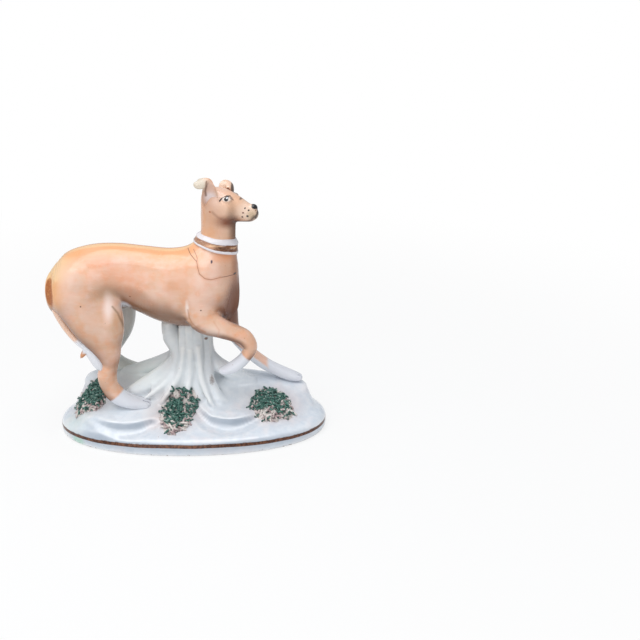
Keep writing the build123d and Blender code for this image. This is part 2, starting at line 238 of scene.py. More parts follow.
class ClayField:
    """Distances to the skin of the clay on a grid of points, negative inside the clay.

    The dog and the ground are modelled this way because no grid of two parameters gives limbs that blend.
    """

    def __init__(self, low: Row, high: Row, pitch: float) -> None:
        """Makes an empty field between two corners.

        Args:
            low: The lowest corner.
            high: The highest corner.
            pitch: The step between points.
        """
        self.low = np.array(low, float) * UNIT
        self.pitch = pitch * UNIT
        self.count = np.ceil((np.array(high, float) * UNIT - self.low) / self.pitch).astype(int) + 1
        self.values = np.full(self.count, FAR, np.float32)

    def axes(self, cut: tuple[slice, ...]) -> list[Array]:
        """Gives the x, y and z of a part of the grid as arrays that broadcast together."""
        steps = [np.arange(part.start, part.stop) for part in cut]
        x, y, z = ((low + self.pitch * step).astype(np.float32) for low, step in zip(self.low, steps))
        return [x[:, None, None], y[None, :, None], z[None, None, :]]

    def block(self, low: Array, high: Array) -> tuple[tuple[slice, ...], list[Array]]:
        """Finds the part of the grid between two corners.

        Args:
            low: The lowest corner.
            high: The highest corner.

        Returns:
            The slices of the grid, and its x, y and z as arrays that broadcast together.
        """
        first = np.clip(np.floor((np.asarray(low) - self.low) / self.pitch).astype(int), 0, self.count - 1)
        past = np.ceil((np.asarray(high) - self.low) / self.pitch).astype(int) + 1
        last = np.clip(past, first + 1, self.count)
        cut = tuple(slice(int(a), int(b)) for a, b in zip(first, last))
        return cut, self.axes(cut)

    def merge(self, cut: tuple[slice, ...], other: Array, blend: float, carve: bool) -> None:
        """Joins a shape to the clay or carves it away, rounded where the two skins meet.

        Joined clay has the lesser of the two distances. Carved clay has the greater of its own distance and
        the negative of the shape's.

        Args:
            cut: The part of the grid that the shape's distances are for.
            other: The shape's distances.
            blend: How far the meeting is rounded.
            carve: Whether the shape is carved away.
        """
        sign = 1 if carve else -1
        self.values[cut] = sign * rounded(sign * self.values[cut], -other, blend * UNIT)

    def limb(self, rings: Array, blend: float, steps: int = 4, carve: bool = False) -> None:
        """Adds or carves a limb: the least distance to the ellipsoids along its rings.

        Args:
            rings: Rows of x, y, z, half depth, half width, facing and turn.
            blend: How far its joint with the rest is rounded.
            steps: How many rows each gap between rings gets.
            carve: Whether it takes clay away.
        """
        rows = smooth_rows(rings, steps)
        axes = ring_axes(rows)
        reach = np.abs(axes[:, 0]) * rows[:, 3:4] + np.abs(axes[:, 1]) * rows[:, 4:5] + MARGIN * UNIT
        lows, highs = rows[:, :3] - reach, rows[:, :3] + reach
        cut, _ = self.block(lows.min(0) - UNIT, highs.max(0) + UNIT)
        nearest = np.full(self.values[cut].shape, FAR, np.float32)
        for k in range(len(rows) - 1):
            part, grid = self.block(np.minimum(lows[k], lows[k + 1]), np.maximum(highs[k], highs[k + 1]))
            inner = tuple(slice(p.start - c.start, p.stop - c.start) for p, c in zip(part, cut))
            nearest[inner] = np.minimum(nearest[inner], ring_distance(grid, rows[k], rows[k + 1]))
        self.merge(cut, nearest, blend, carve)

    def lump(self, lump: Lump) -> None:
        """Adds or carves an ellipsoid, with the distance worked out as in ring_distance.

        Args:
            lump: The ellipsoid.
        """
        middle, radii = np.array(lump.centre, float) * UNIT, np.array(lump.half, float) * UNIT
        reach = radii.max() + (lump.blend + LUMP_MARGIN) * UNIT
        cut, grid = self.block(middle - reach, middle + reach)
        row = np.array([0, 0, 0, 0, 0, math.radians(lump.lean), math.radians(lump.turn)])
        top, side, ahead = ring_axes(row)
        q = [sum((grid[k] - middle[k]) * axis[k] for k in range(3)) for axis in (ahead, side, top)]
        g = np.sqrt(sum((p / r) ** 2 for p, r in zip(q, radii))) + TINY
        h = np.sqrt(sum((p / r**2) ** 2 for p, r in zip(q, radii))) + TINY
        self.merge(cut, (g * (g - 1) / h).astype(np.float32), lump.blend, lump.carve)

    def heap(self, rows: Array, blend: float, edge: float, power: float = 2.0, carve: bool = False) -> None:
        """Adds or carves a heap of level ovals.

        At each level z, q = (|(x - cx) / a|^n + |(y - cy) / b|^n)^(1/n). The distance is (q - 1) times the
        lesser half size, over that number's own slope, and no less than the height past the top or the foot.

        Args:
            rows: Centre x and y, level, half length and half depth, from the bottom up.
            blend: How far its joint with the rest is rounded.
            edge: How far the edge of its top and its foot is rounded.
            power: The ovals' power n.
            carve: Whether it takes clay away.
        """
        steps, least_slope = 8, 0.4
        rows = smooth_rows(rows, steps)
        rows[:, 2] = np.maximum.accumulate(rows[:, 2])
        half = rows[:, 3:5].max(0)
        low = np.array([rows[:, 0].min() - half[0], rows[:, 1].min() - half[1], rows[0, 2]])
        high = np.array([rows[:, 0].max() + half[0], rows[:, 1].max() + half[1], rows[-1, 2]])
        cut, (x, y, z) = self.block(low - MARGIN * UNIT, high + MARGIN * UNIT)
        cx, cy, a, b = (np.interp(z, rows[:, 2], rows[:, k]).astype(np.float32) for k in (0, 1, 3, 4))
        q = (np.abs((x - cx) / a) ** power + np.abs((y - cy) / b) ** power) ** np.float32(1 / power)
        rough = (q - 1) * np.minimum(a, b)
        slope = np.sqrt(sum(g**2 for g in np.gradient(rough, self.pitch)))
        distance = np.clip(rough / np.maximum(slope, least_slope), -FAR, FAR)
        for cap in (z - rows[-1, 2], rows[0, 2] - z):
            distance = rounded(distance, cap, edge * UNIT)
        self.merge(cut, distance.astype(np.float32), blend, carve)

    def skin(self) -> tuple[Array, Array]:
        """Gives the surface where the distance is zero.

        Returns:
            The points, and the four corners of each face.
        """
        grid = openvdb.FloatGrid(FAR)
        grid.copyFromArray(self.values)
        points, triangles, quads = grid.convertToPolygons(isovalue=0.0, adaptivity=0.0)
        if len(triangles):
            quads = np.vstack([quads, np.column_stack([triangles, triangles[:, -1]])])
        return points * self.pitch + self.low, quads[:, ::-1].astype(np.int64)

    def sample(self, points: Array) -> Array:
        """Reads the field between its grid points, weighted by nearness along each axis.

        Args:
            points: The points.

        Returns:
            One distance for each point.
        """
        at = (points - self.low) / self.pitch
        cell = np.clip(np.floor(at).astype(int), 0, self.count - 2)
        share = np.clip(at - cell, 0, 1)
        total = np.zeros(len(points))
        for corner in np.ndindex(2, 2, 2):
            weight = np.prod(np.where(np.array(corner), share, 1 - share), axis=1)
            total += weight * self.values[tuple((cell + corner).T)]
        return total

    def normals(self, points: Array, share: float = 0.8) -> Array:
        """Gives the way out of the clay at some points.

        Args:
            points: The points.
            share: How much of the pitch lies between a point and each of the two places that give its slope.

        Returns:
            One direction for each point.
        """
        step = np.eye(3) * self.pitch * share
        slopes = np.column_stack([self.sample(points + s) - self.sample(points - s) for s in step])
        return unit(slopes)

    def top(self, x: Array, y: Array) -> Array:
        """Gives the height of the clay's highest skin above some places on the floor.

        Args:
            x: The places' x.
            y: The places' y.

        Returns:
            One height for each place.
        """
        columns = np.stack([x, y], -1).reshape(-1, 2)
        cell = np.clip(np.round((columns - self.low[:2]) / self.pitch).astype(int), 0, self.count[:2] - 1)
        run = self.values[cell[:, 0], cell[:, 1]]
        inside = run < 0
        last = self.count[2] - 1 - np.argmax(inside[:, ::-1], axis=1)
        last = np.clip(last, 0, self.count[2] - 2)
        rows = np.arange(len(run))
        below, above = run[rows, last], run[rows, last + 1]
        level = self.low[2] + self.pitch * (last + below / (below - above))
        return np.where(inside.any(1), level, 0.0).reshape(np.shape(x))


def grid_faces(rows: int, columns: int, loop: bool = False) -> Array:
    """Gives the quads of a grid of points whose columns close on themselves.

    Args:
        rows: How many rings.
        columns: How many points each ring has.
        loop: Whether the last ring joins the first.

    Returns:
        The four corners of each quad.
    """
    i, j = np.meshgrid(np.arange(rows if loop else rows - 1), np.arange(columns), indexing="ij")
    after, beside = (i + 1) % rows, (j + 1) % columns
    corners = [i * columns + j, i * columns + beside, after * columns + beside, after * columns + j]
    return np.stack(corners, -1).reshape(-1, 4)


def carried(rings: Array) -> tuple[Array, Array]:
    """Closes the ends of a grid of rings with a fan to the middle of each end ring.

    Args:
        rings: Points with a ring axis, a step axis and x, y, z.

    Returns:
        The points and the faces of the closed skin.
    """
    rows, columns = rings.shape[:2]
    points = np.vstack([rings.reshape(-1, 3), rings[0].mean(0), rings[-1].mean(0)])
    step = np.arange(columns)
    beside, pole = (step + 1) % columns, rows * columns
    first, last = np.full(columns, pole), np.full(columns, pole + 1)
    shift = (rows - 1) * columns
    start = np.column_stack([beside, step, first, first])
    end = np.column_stack([step + shift, beside + shift, last, last])
    return points, np.vstack([grid_faces(rows, columns), start, end])


def circle(count: int) -> Array:
    """Gives equal steps of the angle round a circle."""
    return np.linspace(0, 2 * np.pi, count, endpoint=False)


def limb_rings(rows: Array, columns: int) -> Array:
    """Gives rings of points: middle + depth axis x half depth x cos t + side axis x half width x sin t.

    Args:
        rows: The rings.
        columns: How many points each has.

    Returns:
        Points with a ring axis, a step axis and x, y, z.
    """
    axes = ring_axes(rows)
    t = circle(columns)[None, :, None]
    depth = axes[:, 0, None] * rows[:, 3, None, None]
    side = axes[:, 1, None] * rows[:, 4, None, None]
    return rows[:, None, :3] + depth * np.cos(t) + side * np.sin(t)


def joined(parts: list[tuple[Array, Array]]) -> tuple[Array, Array]:
    """Puts several skins together as one list of points and one of faces."""
    starts = np.cumsum([0] + [len(points) for points, _ in parts[:-1]])
    faces = [own + start for (_, own), start in zip(parts, starts)]
    return np.vstack([points for points, _ in parts]), np.vstack(faces)


def plain_mesh(name: str, points: Array, faces: Iterable[list[int]]) -> bpy.types.Mesh:
    """Makes a mesh from points in millimetres.

    Args:
        name: The mesh's name.
        points: The points.
        faces: The corners of each face, where a repeated corner is left out.

    Returns:
        The mesh.
    """
    mesh = bpy.data.meshes.new(name)
    mesh.from_pydata((points / METRE).tolist(), [], [tuple(dict.fromkeys(face)) for face in faces])
    return mesh


def linked(name: str, data: bpy.types.ID) -> bpy.types.Object:
    """Puts an object with the given data into the scene."""
    made = bpy.data.objects.new(name, data)
    bpy.context.scene.collection.objects.link(made)
    return made


def listed(items: bpy.types.bpy_prop_collection, name: str, width: int = 1, kind: type = float) -> Array:
    """Reads a property of all the points, edges, corners or faces of a mesh.

    Args:
        items: The points, edges, corners or faces.
        name: The property.
        width: How many numbers each one has.
        kind: The numbers' type.

    Returns:
        One row for each of them, or one number if the width is 1.
    """
    values = np.empty(len(items) * width, kind)
    items.foreach_get(name, values)
    return values.reshape(-1, width) if width > 1 else values


def write_mesh(name: str, points: Array, faces: Array) -> bpy.types.Object:
    """Writes a smooth mesh object from points in millimetres.

    Args:
        name: The object's name.
        points: The points.
        faces: The four corners of each face, where a repeated corner means a triangle.

    Returns:
        The new object, at the origin, with its faces pointing out.
    """
    mesh = plain_mesh(name, points, faces.tolist())
    work = bmesh.new()
    work.from_mesh(mesh)
    bmesh.ops.recalc_face_normals(work, faces=work.faces)
    work.to_mesh(mesh)
    work.free()
    mesh.polygons.foreach_set("use_smooth", np.ones(len(mesh.polygons), bool))
    return linked(name, mesh)


def hollows(points: Array, pairs: Array, normals: Array, rounds: int) -> Array:
    """Tells how far the smoothed skin lies outside each point.

    Each round moves every point to the mean of its neighbours. The result is the move along the normal, which
    is high in hollows and negative on ridges.

    Args:
        points: The skin's points.
        pairs: The two ends of each edge.
        normals: The way out at each point.
        rounds: How many times the skin is smoothed.

    Returns:
        One number for each point, in millimetres.
    """
    count = np.bincount(pairs.ravel(), minlength=len(points)).clip(1)[:, None]
    one, other = pairs.T
    moved = points.copy()
    for _ in range(rounds):
        sums = [
            np.bincount(one, moved[other, k], len(points)) + np.bincount(other, moved[one, k], len(points))
            for k in range(3)
        ]
        moved = np.column_stack(sums) / count
    return np.sum((moved - points) * normals, axis=1)


def put_attribute(made: bpy.types.Object, name: str, values: Array) -> None:
    """Stores one number for each point of a mesh, for its material to read."""
    layer = made.data.attributes.new(name, "FLOAT", "POINT")
    layer.data.foreach_set("value", np.asarray(values, np.float32))


def in_box(points: Array, box: Box) -> Array:
    """Tells which points lie in a box given as its low and high along x, y and z."""
    low, high = np.array(box).T * UNIT
    return np.all((points > low) & (points < high), axis=-1)


@dataclass(frozen=True)
class Joint:
    """A flat joint between two of the potter's pieces.

    It has the piece that lies ahead of it, a point, the angle up from +X that it faces, the box that bounds
    the cut, and its lean towards the far side. The angles are in degrees.
    """

    piece: str
    point: Row
    facing: float
    box: Box
    tilt: float = 0.0

    def normal(self) -> Array:
        """Gives the way that the joint faces."""
        facing, tilt = math.radians(self.facing), math.radians(self.tilt)
        flat = math.cos(tilt)
        return np.array([math.cos(facing) * flat, math.sin(tilt), math.sin(facing) * flat])


def ring_joint(piece: str, rows: Rows, ring: int, box: Box) -> Joint:
    """Gives the joint across a ring of a limb.

    Args:
        piece: The piece ahead of the joint.
        rows: The limb's table.
        ring: The ring's number.
        box: The box that bounds the cut.

    Returns:
        The joint.
    """
    return Joint(piece, tuple(place(*rows[ring][:3])), float(rows[ring][5]), box)


class Cutter:
    """Cuts a skin at the potter's joints into closed pieces.

    A face with more than cap_corners corners is one that fills a cut. The first_points of a piece tell if it
    is inside out. A plane cuts the faces whose middles lie within near_pitches steps of the grid.
    """

    cap_corners: int = 6
    first_points: int = 400
    near_pitches: int = 3
    seam_box: Box = ((-200, 200), (-2, 2), (-9, 300))

    def __init__(self, clay: ClayField, rounds: int) -> None:
        """Takes the skin of a field.

        Args:
            clay: The field.
            rounds: How far its hollows are smoothed.
        """
        self.clay = clay
        self.rounds = rounds
        points, quads = clay.skin()
        self.mesh = plain_mesh("whole_skin", points, quads.tolist())

    def cut(self, joints: list[Joint], seam: bool = False) -> None:
        """Cuts the skin along each joint inside its box, and along the seam at y = 0 if there is one.

        The cut skin is then read into arrays: points, face middles, normals and hollows.

        Args:
            joints: The joints.
            seam: Whether the seam is cut too.
        """
        work = bmesh.new()
        work.from_mesh(self.mesh)
        for joint in joints:
            self.slice(work, np.array(joint.point), joint.normal(), joint.box)
        if seam:
            self.slice(work, np.zeros(3), np.array([0.0, 1.0, 0.0]), self.seam_box)
        work.to_mesh(self.mesh)
        work.free()
        self.points = listed(self.mesh.vertices, "co", 3) * METRE
        self.middles = listed(self.mesh.polygons, "center", 3) * METRE
        pairs = listed(self.mesh.edges, "vertices", 2, int)
        self.normals = self.clay.normals(self.points)
        self.hollow = hollows(self.points, pairs, self.normals, self.rounds)
        self.faces = [tuple(polygon.vertices) for polygon in self.mesh.polygons]

    def slice(self, work: bmesh.types.BMesh, point: Array, normal: Array, box: Box) -> None:
        """Cuts the faces near one plane, and keeps both sides.

        Args:
            work: The skin.
            point: A point of the plane.
            normal: The way that the plane faces.
            box: The box that bounds the cut.
        """
        middles = np.array([face.calc_center_median() for face in work.faces]) * METRE
        near = np.abs((middles - point) @ normal) < self.near_pitches * self.clay.pitch
        work.faces.ensure_lookup_table()
        chosen = [work.faces[int(k)] for k in np.flatnonzero(near & in_box(middles, box))]
        edges = {edge for face in chosen for edge in face.edges}
        corners = {corner for face in chosen for corner in face.verts}
        parts = [*corners, *edges, *chosen]
        plane = {"plane_co": (point / METRE).tolist(), "plane_no": normal.tolist()}
        bmesh.ops.bisect_plane(work, geom=parts, dist=1e-7, **plane)

    def ahead(self, joint: Joint) -> Array:
        """Tells which faces lie ahead of a joint, inside its box."""
        return ((self.middles - np.array(joint.point)) @ joint.normal() > 0) & in_box(self.middles, joint.box)

    def piece(self, node: str, chosen: Array, slot: Slot, material: Material) -> None:
        """Makes a finished piece from some faces: open edges are filled, and the shading follows the field.

        Args:
            node: The CAD node that the piece stands for.
            chosen: Which faces belong to the piece.
            slot: Its material slot.
            material: Its material.
        """
        faces = [self.faces[k] for k in np.flatnonzero(chosen)]
        used = np.unique(np.concatenate([np.asarray(face) for face in faces]))
        number = np.zeros(len(self.points), int)
        number[used] = np.arange(len(used))
        mesh = plain_mesh(node, self.points[used], (number[list(face)].tolist() for face in faces))
        work = bmesh.new()
        work.from_mesh(mesh)
        bmesh.ops.holes_fill(work, edges=[edge for edge in work.edges if edge.is_boundary], sides=0)
        bmesh.ops.recalc_face_normals(work, faces=work.faces)
        work.verts.ensure_lookup_table()
        slopes, first = self.normals[used], work.verts[: self.first_points]
        if sum(float(point.normal.dot(slope)) for point, slope in zip(first, slopes)) < 0:
            bmesh.ops.reverse_faces(work, faces=work.faces)
        for face in work.faces:
            face.smooth = len(face.verts) <= self.cap_corners
        work.to_mesh(mesh)
        work.free()
        self.shade(mesh, slopes)
        made = linked(node + "_glazed", mesh)
        put_attribute(made, "hollow", self.hollow[used])
        finished(made, node, slot, material)

    def shade(self, mesh: bpy.types.Mesh, slopes: Array) -> None:
        """Gives each corner the field's normal, and the corners of a filled cut that cut's own.

        Args:
            mesh: The piece's mesh.
            slopes: The field's normal at each point.
        """
        totals = listed(mesh.polygons, "loop_total", kind=int)
        corner = listed(mesh.loops, "vertex_index", kind=int)
        flat = np.repeat(listed(mesh.polygons, "normal", 3), totals, axis=0)
        caps = np.repeat(totals > self.cap_corners, totals)[:, None]
        mesh.normals_split_custom_set(np.where(caps, flat, slopes[corner]).tolist())


def finished(made: bpy.types.Object, node: str, slot: Slot, material: Material) -> None:
    """Gives a piece its material and the body that it rides on, hides the CAD node that it stands for, and
    reports it.

    Args:
        made: The piece.
        node: The CAD node that it stands for.
        slot: Its material slot; not used.
        material: Its material.
    """
    made.data.materials.clear()
    made.data.materials.append(material)
    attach(made, "root")
    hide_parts(node)
    log.info("%s: %d faces", made.name, len(made.data.polygons))


TRUNK: Rows = (
    (-0.985, 0, 0.502, 0.06, 0.06, 0),
    (-0.979, 0, 0.506, 0.29, 0.24, 0),
    (-0.962, 0, 0.506, 0.45, 0.4, 0),
    (-0.932, 0, 0.51, 0.57, 0.55, 0),
    (-0.875, 0, 0.522, 0.7, 0.74, 0),
    (-0.79, 0, 0.547, 0.81, 0.88, 0),
    (-0.65, 0, 0.575, 0.79, 0.94, 0),
    (-0.495, 0, 0.593, 0.71, 0.82, 0),
    (-0.333, 0, 0.567, 0.8, 0.84, 0),
    (-0.15, 0, 0.535, 0.91, 0.95, 0),
    (0.01, 0, 0.527, 0.98, 0.98, 2),
    (0.13, 0, 0.534, 0.98, 0.95, 6),
    (0.2, 0, 0.527, 0.88, 0.79, 8),
    (0.258, 0, 0.514, 0.69, 0.58, 6),
    (0.298, 0, 0.506, 0.48, 0.38, 5),
    (0.32, 0, 0.502, 0.16, 0.13, 5),
)
NECK: Rows = (
    (0.1, 0, 0.542, 0.7, 0.74, 50),
    (0.175, 0, 0.608, 0.65, 0.7, 60),
    (0.206, 0, 0.668, 0.535, 0.54, 66),
    (0.223, 0, 0.722, 0.445, 0.46, 75),
    (0.235, 0, 0.775, 0.402, 0.41, 85),
    (0.24, 0, 0.85, 0.404, 0.42, 90),
    (0.236, 0, 0.9, 0.35, 0.4, 92),
)
NEAR_HIND: Rows = (
    (-0.755, -0.13, 0.617, 0.4, 0.6, -80),
    (-0.762, -0.19, 0.567, 0.72, 0.82, -80),
    (-0.729, -0.24, 0.5, 0.98, 0.95, -85),
    (-0.667, -0.291, 0.433, 0.92, 0.91, -76),
    (-0.628, -0.318, 0.367, 0.77, 0.84, -80),
    (-0.599, -0.327, 0.306, 0.52, 0.73, -82),
    (-0.578, -0.334, 0.256, 0.36, 0.6, -86),
    (-0.579, -0.336, 0.214, 0.275, 0.5, -92),
    (-0.602, -0.336, 0.169, 0.31, 0.5, -80),
    (-0.593, -0.327, 0.117, 0.29, 0.48, -70),
    (-0.545, -0.311, 0.069, 0.3, 0.48, -50),
    (-0.45, -0.29, 0.034, 0.24, 0.53, -22),
    (-0.335, -0.252, 0.016, 0.16, 0.5, -4),
)
FAR_HIND: Rows = (
    (-0.755, 0.13, 0.617, 0.4, 0.6, -80),
    (-0.743, 0.19, 0.567, 0.72, 0.82, -80),
    (-0.695, 0.236, 0.5, 0.97, 0.94, -85),
    (-0.629, 0.273, 0.433, 0.9, 0.91, -76),
    (-0.59, 0.3, 0.367, 0.74, 0.84, -84),
    (-0.576, 0.318, 0.306, 0.54, 0.73, -90),
    (-0.59, 0.336, 0.256, 0.37, 0.6, -98),
    (-0.61, 0.355, 0.217, 0.275, 0.51, -98),
    (-0.643, 0.364, 0.186, 0.31, 0.5, -82),
    (-0.633, 0.382, 0.153, 0.29, 0.48, -68),
    (-0.586, 0.391, 0.124, 0.28, 0.48, -45),
    (-0.519, 0.391, 0.107, 0.23, 0.52, -18),
    (-0.415, 0.375, 0.098, 0.14, 0.46, 0),
)
NEAR_FORE: Rows = (
    (0.15, -0.18, 0.62, 0.85, 0.8, -90),
    (0.133, -0.245, 0.56, 1, 0.92, -95),
    (0.095, -0.305, 0.489, 0.95, 0.98, -98),
    (0.119, -0.364, 0.422, 0.78, 0.94, -62),
    (0.238, -0.4, 0.389, 0.57, 0.8, -24),
    (0.333, -0.414, 0.368, 0.49, 0.71, -24),
    (0.412, -0.422, 0.345, 0.46, 0.68, -40),
    (0.452, -0.422, 0.303, 0.38, 0.62, -88),
    (0.414, -0.418, 0.258, 0.33, 0.59, -125),
    (0.348, -0.418, 0.22, 0.34, 0.61, -140),
    (0.281, -0.409, 0.199, 0.28, 0.6, -162),
    (0.244, -0.409, 0.194, 0.2, 0.48, -175),
)
FAR_FORE: Rows = (
    (0.185, 0.16, 0.56, 0.9, 0.9, -80),
    (0.2, 0.2, 0.489, 0.92, 0.98, -72),
    (0.257, 0.236, 0.4, 0.68, 0.88, -66),
    (0.295, 0.255, 0.303, 0.46, 0.71, -58),
    (0.362, 0.255, 0.242, 0.4, 0.63, -54),
    (0.438, 0.255, 0.185, 0.35, 0.6, -49),
    (0.529, 0.26, 0.139, 0.35, 0.6, -36),
    (0.6, 0.265, 0.113, 0.33, 0.63, -28),
    (0.686, 0.273, 0.086, 0.33, 0.71, -20),
    (0.752, 0.28, 0.07, 0.29, 0.71, -14),
    (0.798, 0.282, 0.062, 0.22, 0.56, -10),
)
SHEATH: Rows = (
    (-0.56, 0, 0.474, 0.75, 0.7, -12),
    (-0.52, 0, 0.464, 1, 0.95, -6),
    (-0.478, 0, 0.46, 0.95, 0.9, 4),
    (-0.45, 0, 0.464, 0.6, 0.6, 12),
)
HEAD: Rows = (
    (-0.16, 0.902, 0.22, 0.22),
    (-0.13, 0.902, 0.52, 0.56),
    (-0.06, 0.901, 0.8, 0.86),
    (0.06, 0.899, 0.94, 0.98),
    (0.26, 0.886, 0.94, 0.93),
    (0.42, 0.877, 0.86, 0.8),
    (0.56, 0.87, 0.75, 0.68),
    (0.69, 0.864, 0.64, 0.57),
    (0.79, 0.86, 0.55, 0.48),
    (0.86, 0.86, 0.44, 0.39),
)
TAIL: Rows = (
    (-0.929, -0.018, 0.553, 0.7, 0.75, -115),
    (-0.97, -0.045, 0.506, 0.92, 0.95, -95),
    (-0.954, -0.109, 0.447, 0.86, 0.94, -70),
    (-0.901, -0.182, 0.389, 0.74, 0.88, -56),
    (-0.842, -0.245, 0.346, 0.72, 0.86, -46),
    (-0.787, -0.291, 0.317, 0.74, 0.86, -40),
    (-0.737, -0.331, 0.298, 0.82, 0.9, -42),
    (-0.691, -0.36, 0.264, 0.98, 0.9, -54),
    (-0.65, -0.375, 0.222, 0.9, 0.85, -60),
    (-0.629, -0.371, 0.197, 0.45, 0.5, -62),
)
# The web of clay between the tail and the thigh, and the tail's stub, as x, y, z and radius
THIGH_WEB: Rows = (
    (-97, -3, 103, 2.5),
    (-91, -7, 92, 3.4),
    (-85, -10, 84, 3.8),
    (-79, -13, 77, 3.8),
    (-70, -17, 67, 3.4),
)
TAIL_STUB: Rows = (
    (-74.5, -18.8, 75, 2.8),
    (-77.6, -19.4, 72.8, 3.2),
    (-80.2, -19.6, 70.4, 3),
    (-81.9, -19.6, 68.4, 1.7),
)
# One side's two hollows of the flank, shoulder blade, hip, and hollow behind the shoulder
TRUNK_LUMPS = (
    Lump((-60, 30.5, 112), (13, 7.0, 10), blend=9.0, carve=True, lean=-35),
    Lump((-40, 27.0, 112), (10, 5.0, 8), blend=8.0, carve=True, lean=-40),
    Lump((14, 15, 122), (13, 9.5, 19), blend=9.0, lean=-12),
    Lump((-81, 15, 121), (16, 9, 14), blend=9.0),
    Lump((-5, 27, 120), (5, 3.4, 24), blend=6.0, carve=True, lean=10),
)
# The cuts between the toes, as x, y, z and turn
TOE_CUTS: Rows = (
    (-36.0, -16.5, 27.0, 8),
    (-37.0, -11.5, 27.0, 14),
    (-43, 19.5, 40.5, 4),
    (83.5, 16.8, 34, 6),
    (83.5, 13.6, 34, 10),
)


@dataclass
class Dog:
    """The dog's body, head and legs, modelled as skins that are cut into the potter's pieces.

    The chest, thigh, arm, sheath and skull are given by their full depth and width.
    """

    chest: Row = (64.0, 49.0)
    thigh: Row = (48.0, 26.0)
    arm: Row = (28.0, 18.0)
    sheath: Row = (10.0, 10.0)
    skull: Row = (23.0, 22.0)
    muzzle_reach: float = 33.0
    head_turn: float = -17.0
    head_axis: float = 24.0
    head_share: float = 0.229
    toe_cut: Row = (4.5, 0.55, 2.4)
    pitch: float = 0.62
    head_pitch: float = 0.42

    def on_head(self, reach: float, aside: float, up: float) -> Row:
        """Gives a point by its reach towards the nose, its way to the left of the head and its height."""
        way = math.radians(self.head_turn)
        x = self.head_axis + reach * math.cos(way) - aside * math.sin(way)
        return (x, reach * math.sin(way) + aside * math.cos(way), up)

    def head_rows(self) -> Array:
        """Gives the head's rings, which run from the nape to the nose along the turned head.

        Returns:
            One ring for each row of the table.
        """
        way = math.radians(self.head_turn)
        rows = np.array(HEAD)
        middles = np.array([place(self.head_share, 0, up) for up in rows[:, 1]])
        ahead = np.array([math.cos(way), math.sin(way), 0.0])
        centres = middles + rows[:, :1] * self.muzzle_reach * UNIT * ahead
        halves = rows[:, 2:] * np.array(self.skull) * UNIT / 2
        return np.hstack([centres, halves, np.tile([0.0, way], (len(rows), 1))])

    def face_lumps(self, side: int) -> tuple[Lump, ...]:
        """Gives one side's eye socket, eyeball, cheek and nostril, placed as on_head takes them."""
        return (
            Lump((11.5, side * 10.8, 188.2), (4.6, 2.2, 2.7), blend=2.5, carve=True),
            Lump((11.4, side * 7.0, 187.6), (3.6, 2.4 - side * 0.3, 2.1), blend=1.2),
            Lump((4.5, side * 6.1, 178.0), (10.5, 3.7, 6.2), blend=6.0, lean=-12),
            Lump((31.2, side * 1.6, 179.6), (1.1, 0.6, 0.6), blend=0.4, carve=True),
        )

    def body_field(self) -> ClayField:
        """Models trunk, neck and legs.

        Returns:
            The field.
        """
        clay = ClayField((-113, -34, 17), (92, 34, 166), self.pitch)
        for rows, size, blend, steps in (
            (TRUNK, self.chest, 0.5, 9),
            (NECK, self.chest, 10.0, 4),
            (NEAR_HIND, self.thigh, 5.0, 12),
            (FAR_HIND, self.thigh, 5.0, 12),
            (NEAR_FORE, self.arm, 3.5, 4),
            (FAR_FORE, self.arm, 4.0, 4),
            (SHEATH, self.sheath, 3.0, 4),
        ):
            clay.limb(limb_rows(rows, *size), blend, steps)
        for side in (-1, 1):
            for lump in TRUNK_LUMPS:
                clay.lump(lump.on(side))
        clay.limb(cord_rows(THIGH_WEB), blend=3.0)
        for *middle, turn in TOE_CUTS:
            clay.lump(Lump(tuple(middle), self.toe_cut, blend=0.8, carve=True, turn=turn))
        return clay

    def head_field(self) -> ClayField:
        """Models the head and the neck above the collar, on a finer grid.

        Returns:
            The field.
        """
        clay = ClayField((-2, -26, 142), (63, 22, 201), self.head_pitch)
        clay.limb(limb_rows(NECK[2:], *self.chest), blend=0.5)
        clay.limb(self.head_rows(), blend=5.0)
        nose = Lump((29.0, 0, 181.2), (3.1, 2.9, 2.7), blend=1.4)
        for lump in (nose, *self.face_lumps(-1), *self.face_lumps(1)):
            clay.lump(replace(lump, centre=self.on_head(*lump.centre), turn=self.head_turn))
        return clay

    def build(self, coat: Material, face: Material) -> None:
        """Cuts the skins into pieces and dresses them.

        Args:
            coat: The enamel of the body and legs.
            face: The enamel of the head.
        """
        legs = [
            ring_joint("near_foreleg", NEAR_FORE, 4, ((18, 62), (-36, -14.6), (46, 100))),
            ring_joint("far_foreleg", FAR_FORE, 3, ((20, 92), (4, 36), (20, 84))),
            ring_joint("near_hind_leg", NEAR_HIND, 7, ((-80, -20), (-36, -4), (16, 70))),
            ring_joint("far_hind_leg", FAR_HIND, 7, ((-84, -30), (4, 36), (26, 72))),
        ]
        neck = ring_joint("head", NECK, 3, ((-8, 60), (-40, 40), (130, 210)))
        body = Cutter(self.body_field(), rounds=8)
        body.cut([*legs, neck], seam=True)
        left = ~body.ahead(neck)
        for leg in legs:
            chosen = body.ahead(leg)
            body.piece(leg.piece, chosen, Slot.PAW, coat)
            left &= ~chosen
        near = body.middles[:, 1] < 0
        for node, half in (("body_near_half", near), ("body_far_half", ~near)):
            body.piece(node, left & half, Slot.FAWN, coat)
        head = Cutter(self.head_field(), rounds=6)
        head.cut([neck])
        head.piece("head", head.ahead(neck), Slot.FAWN, face)


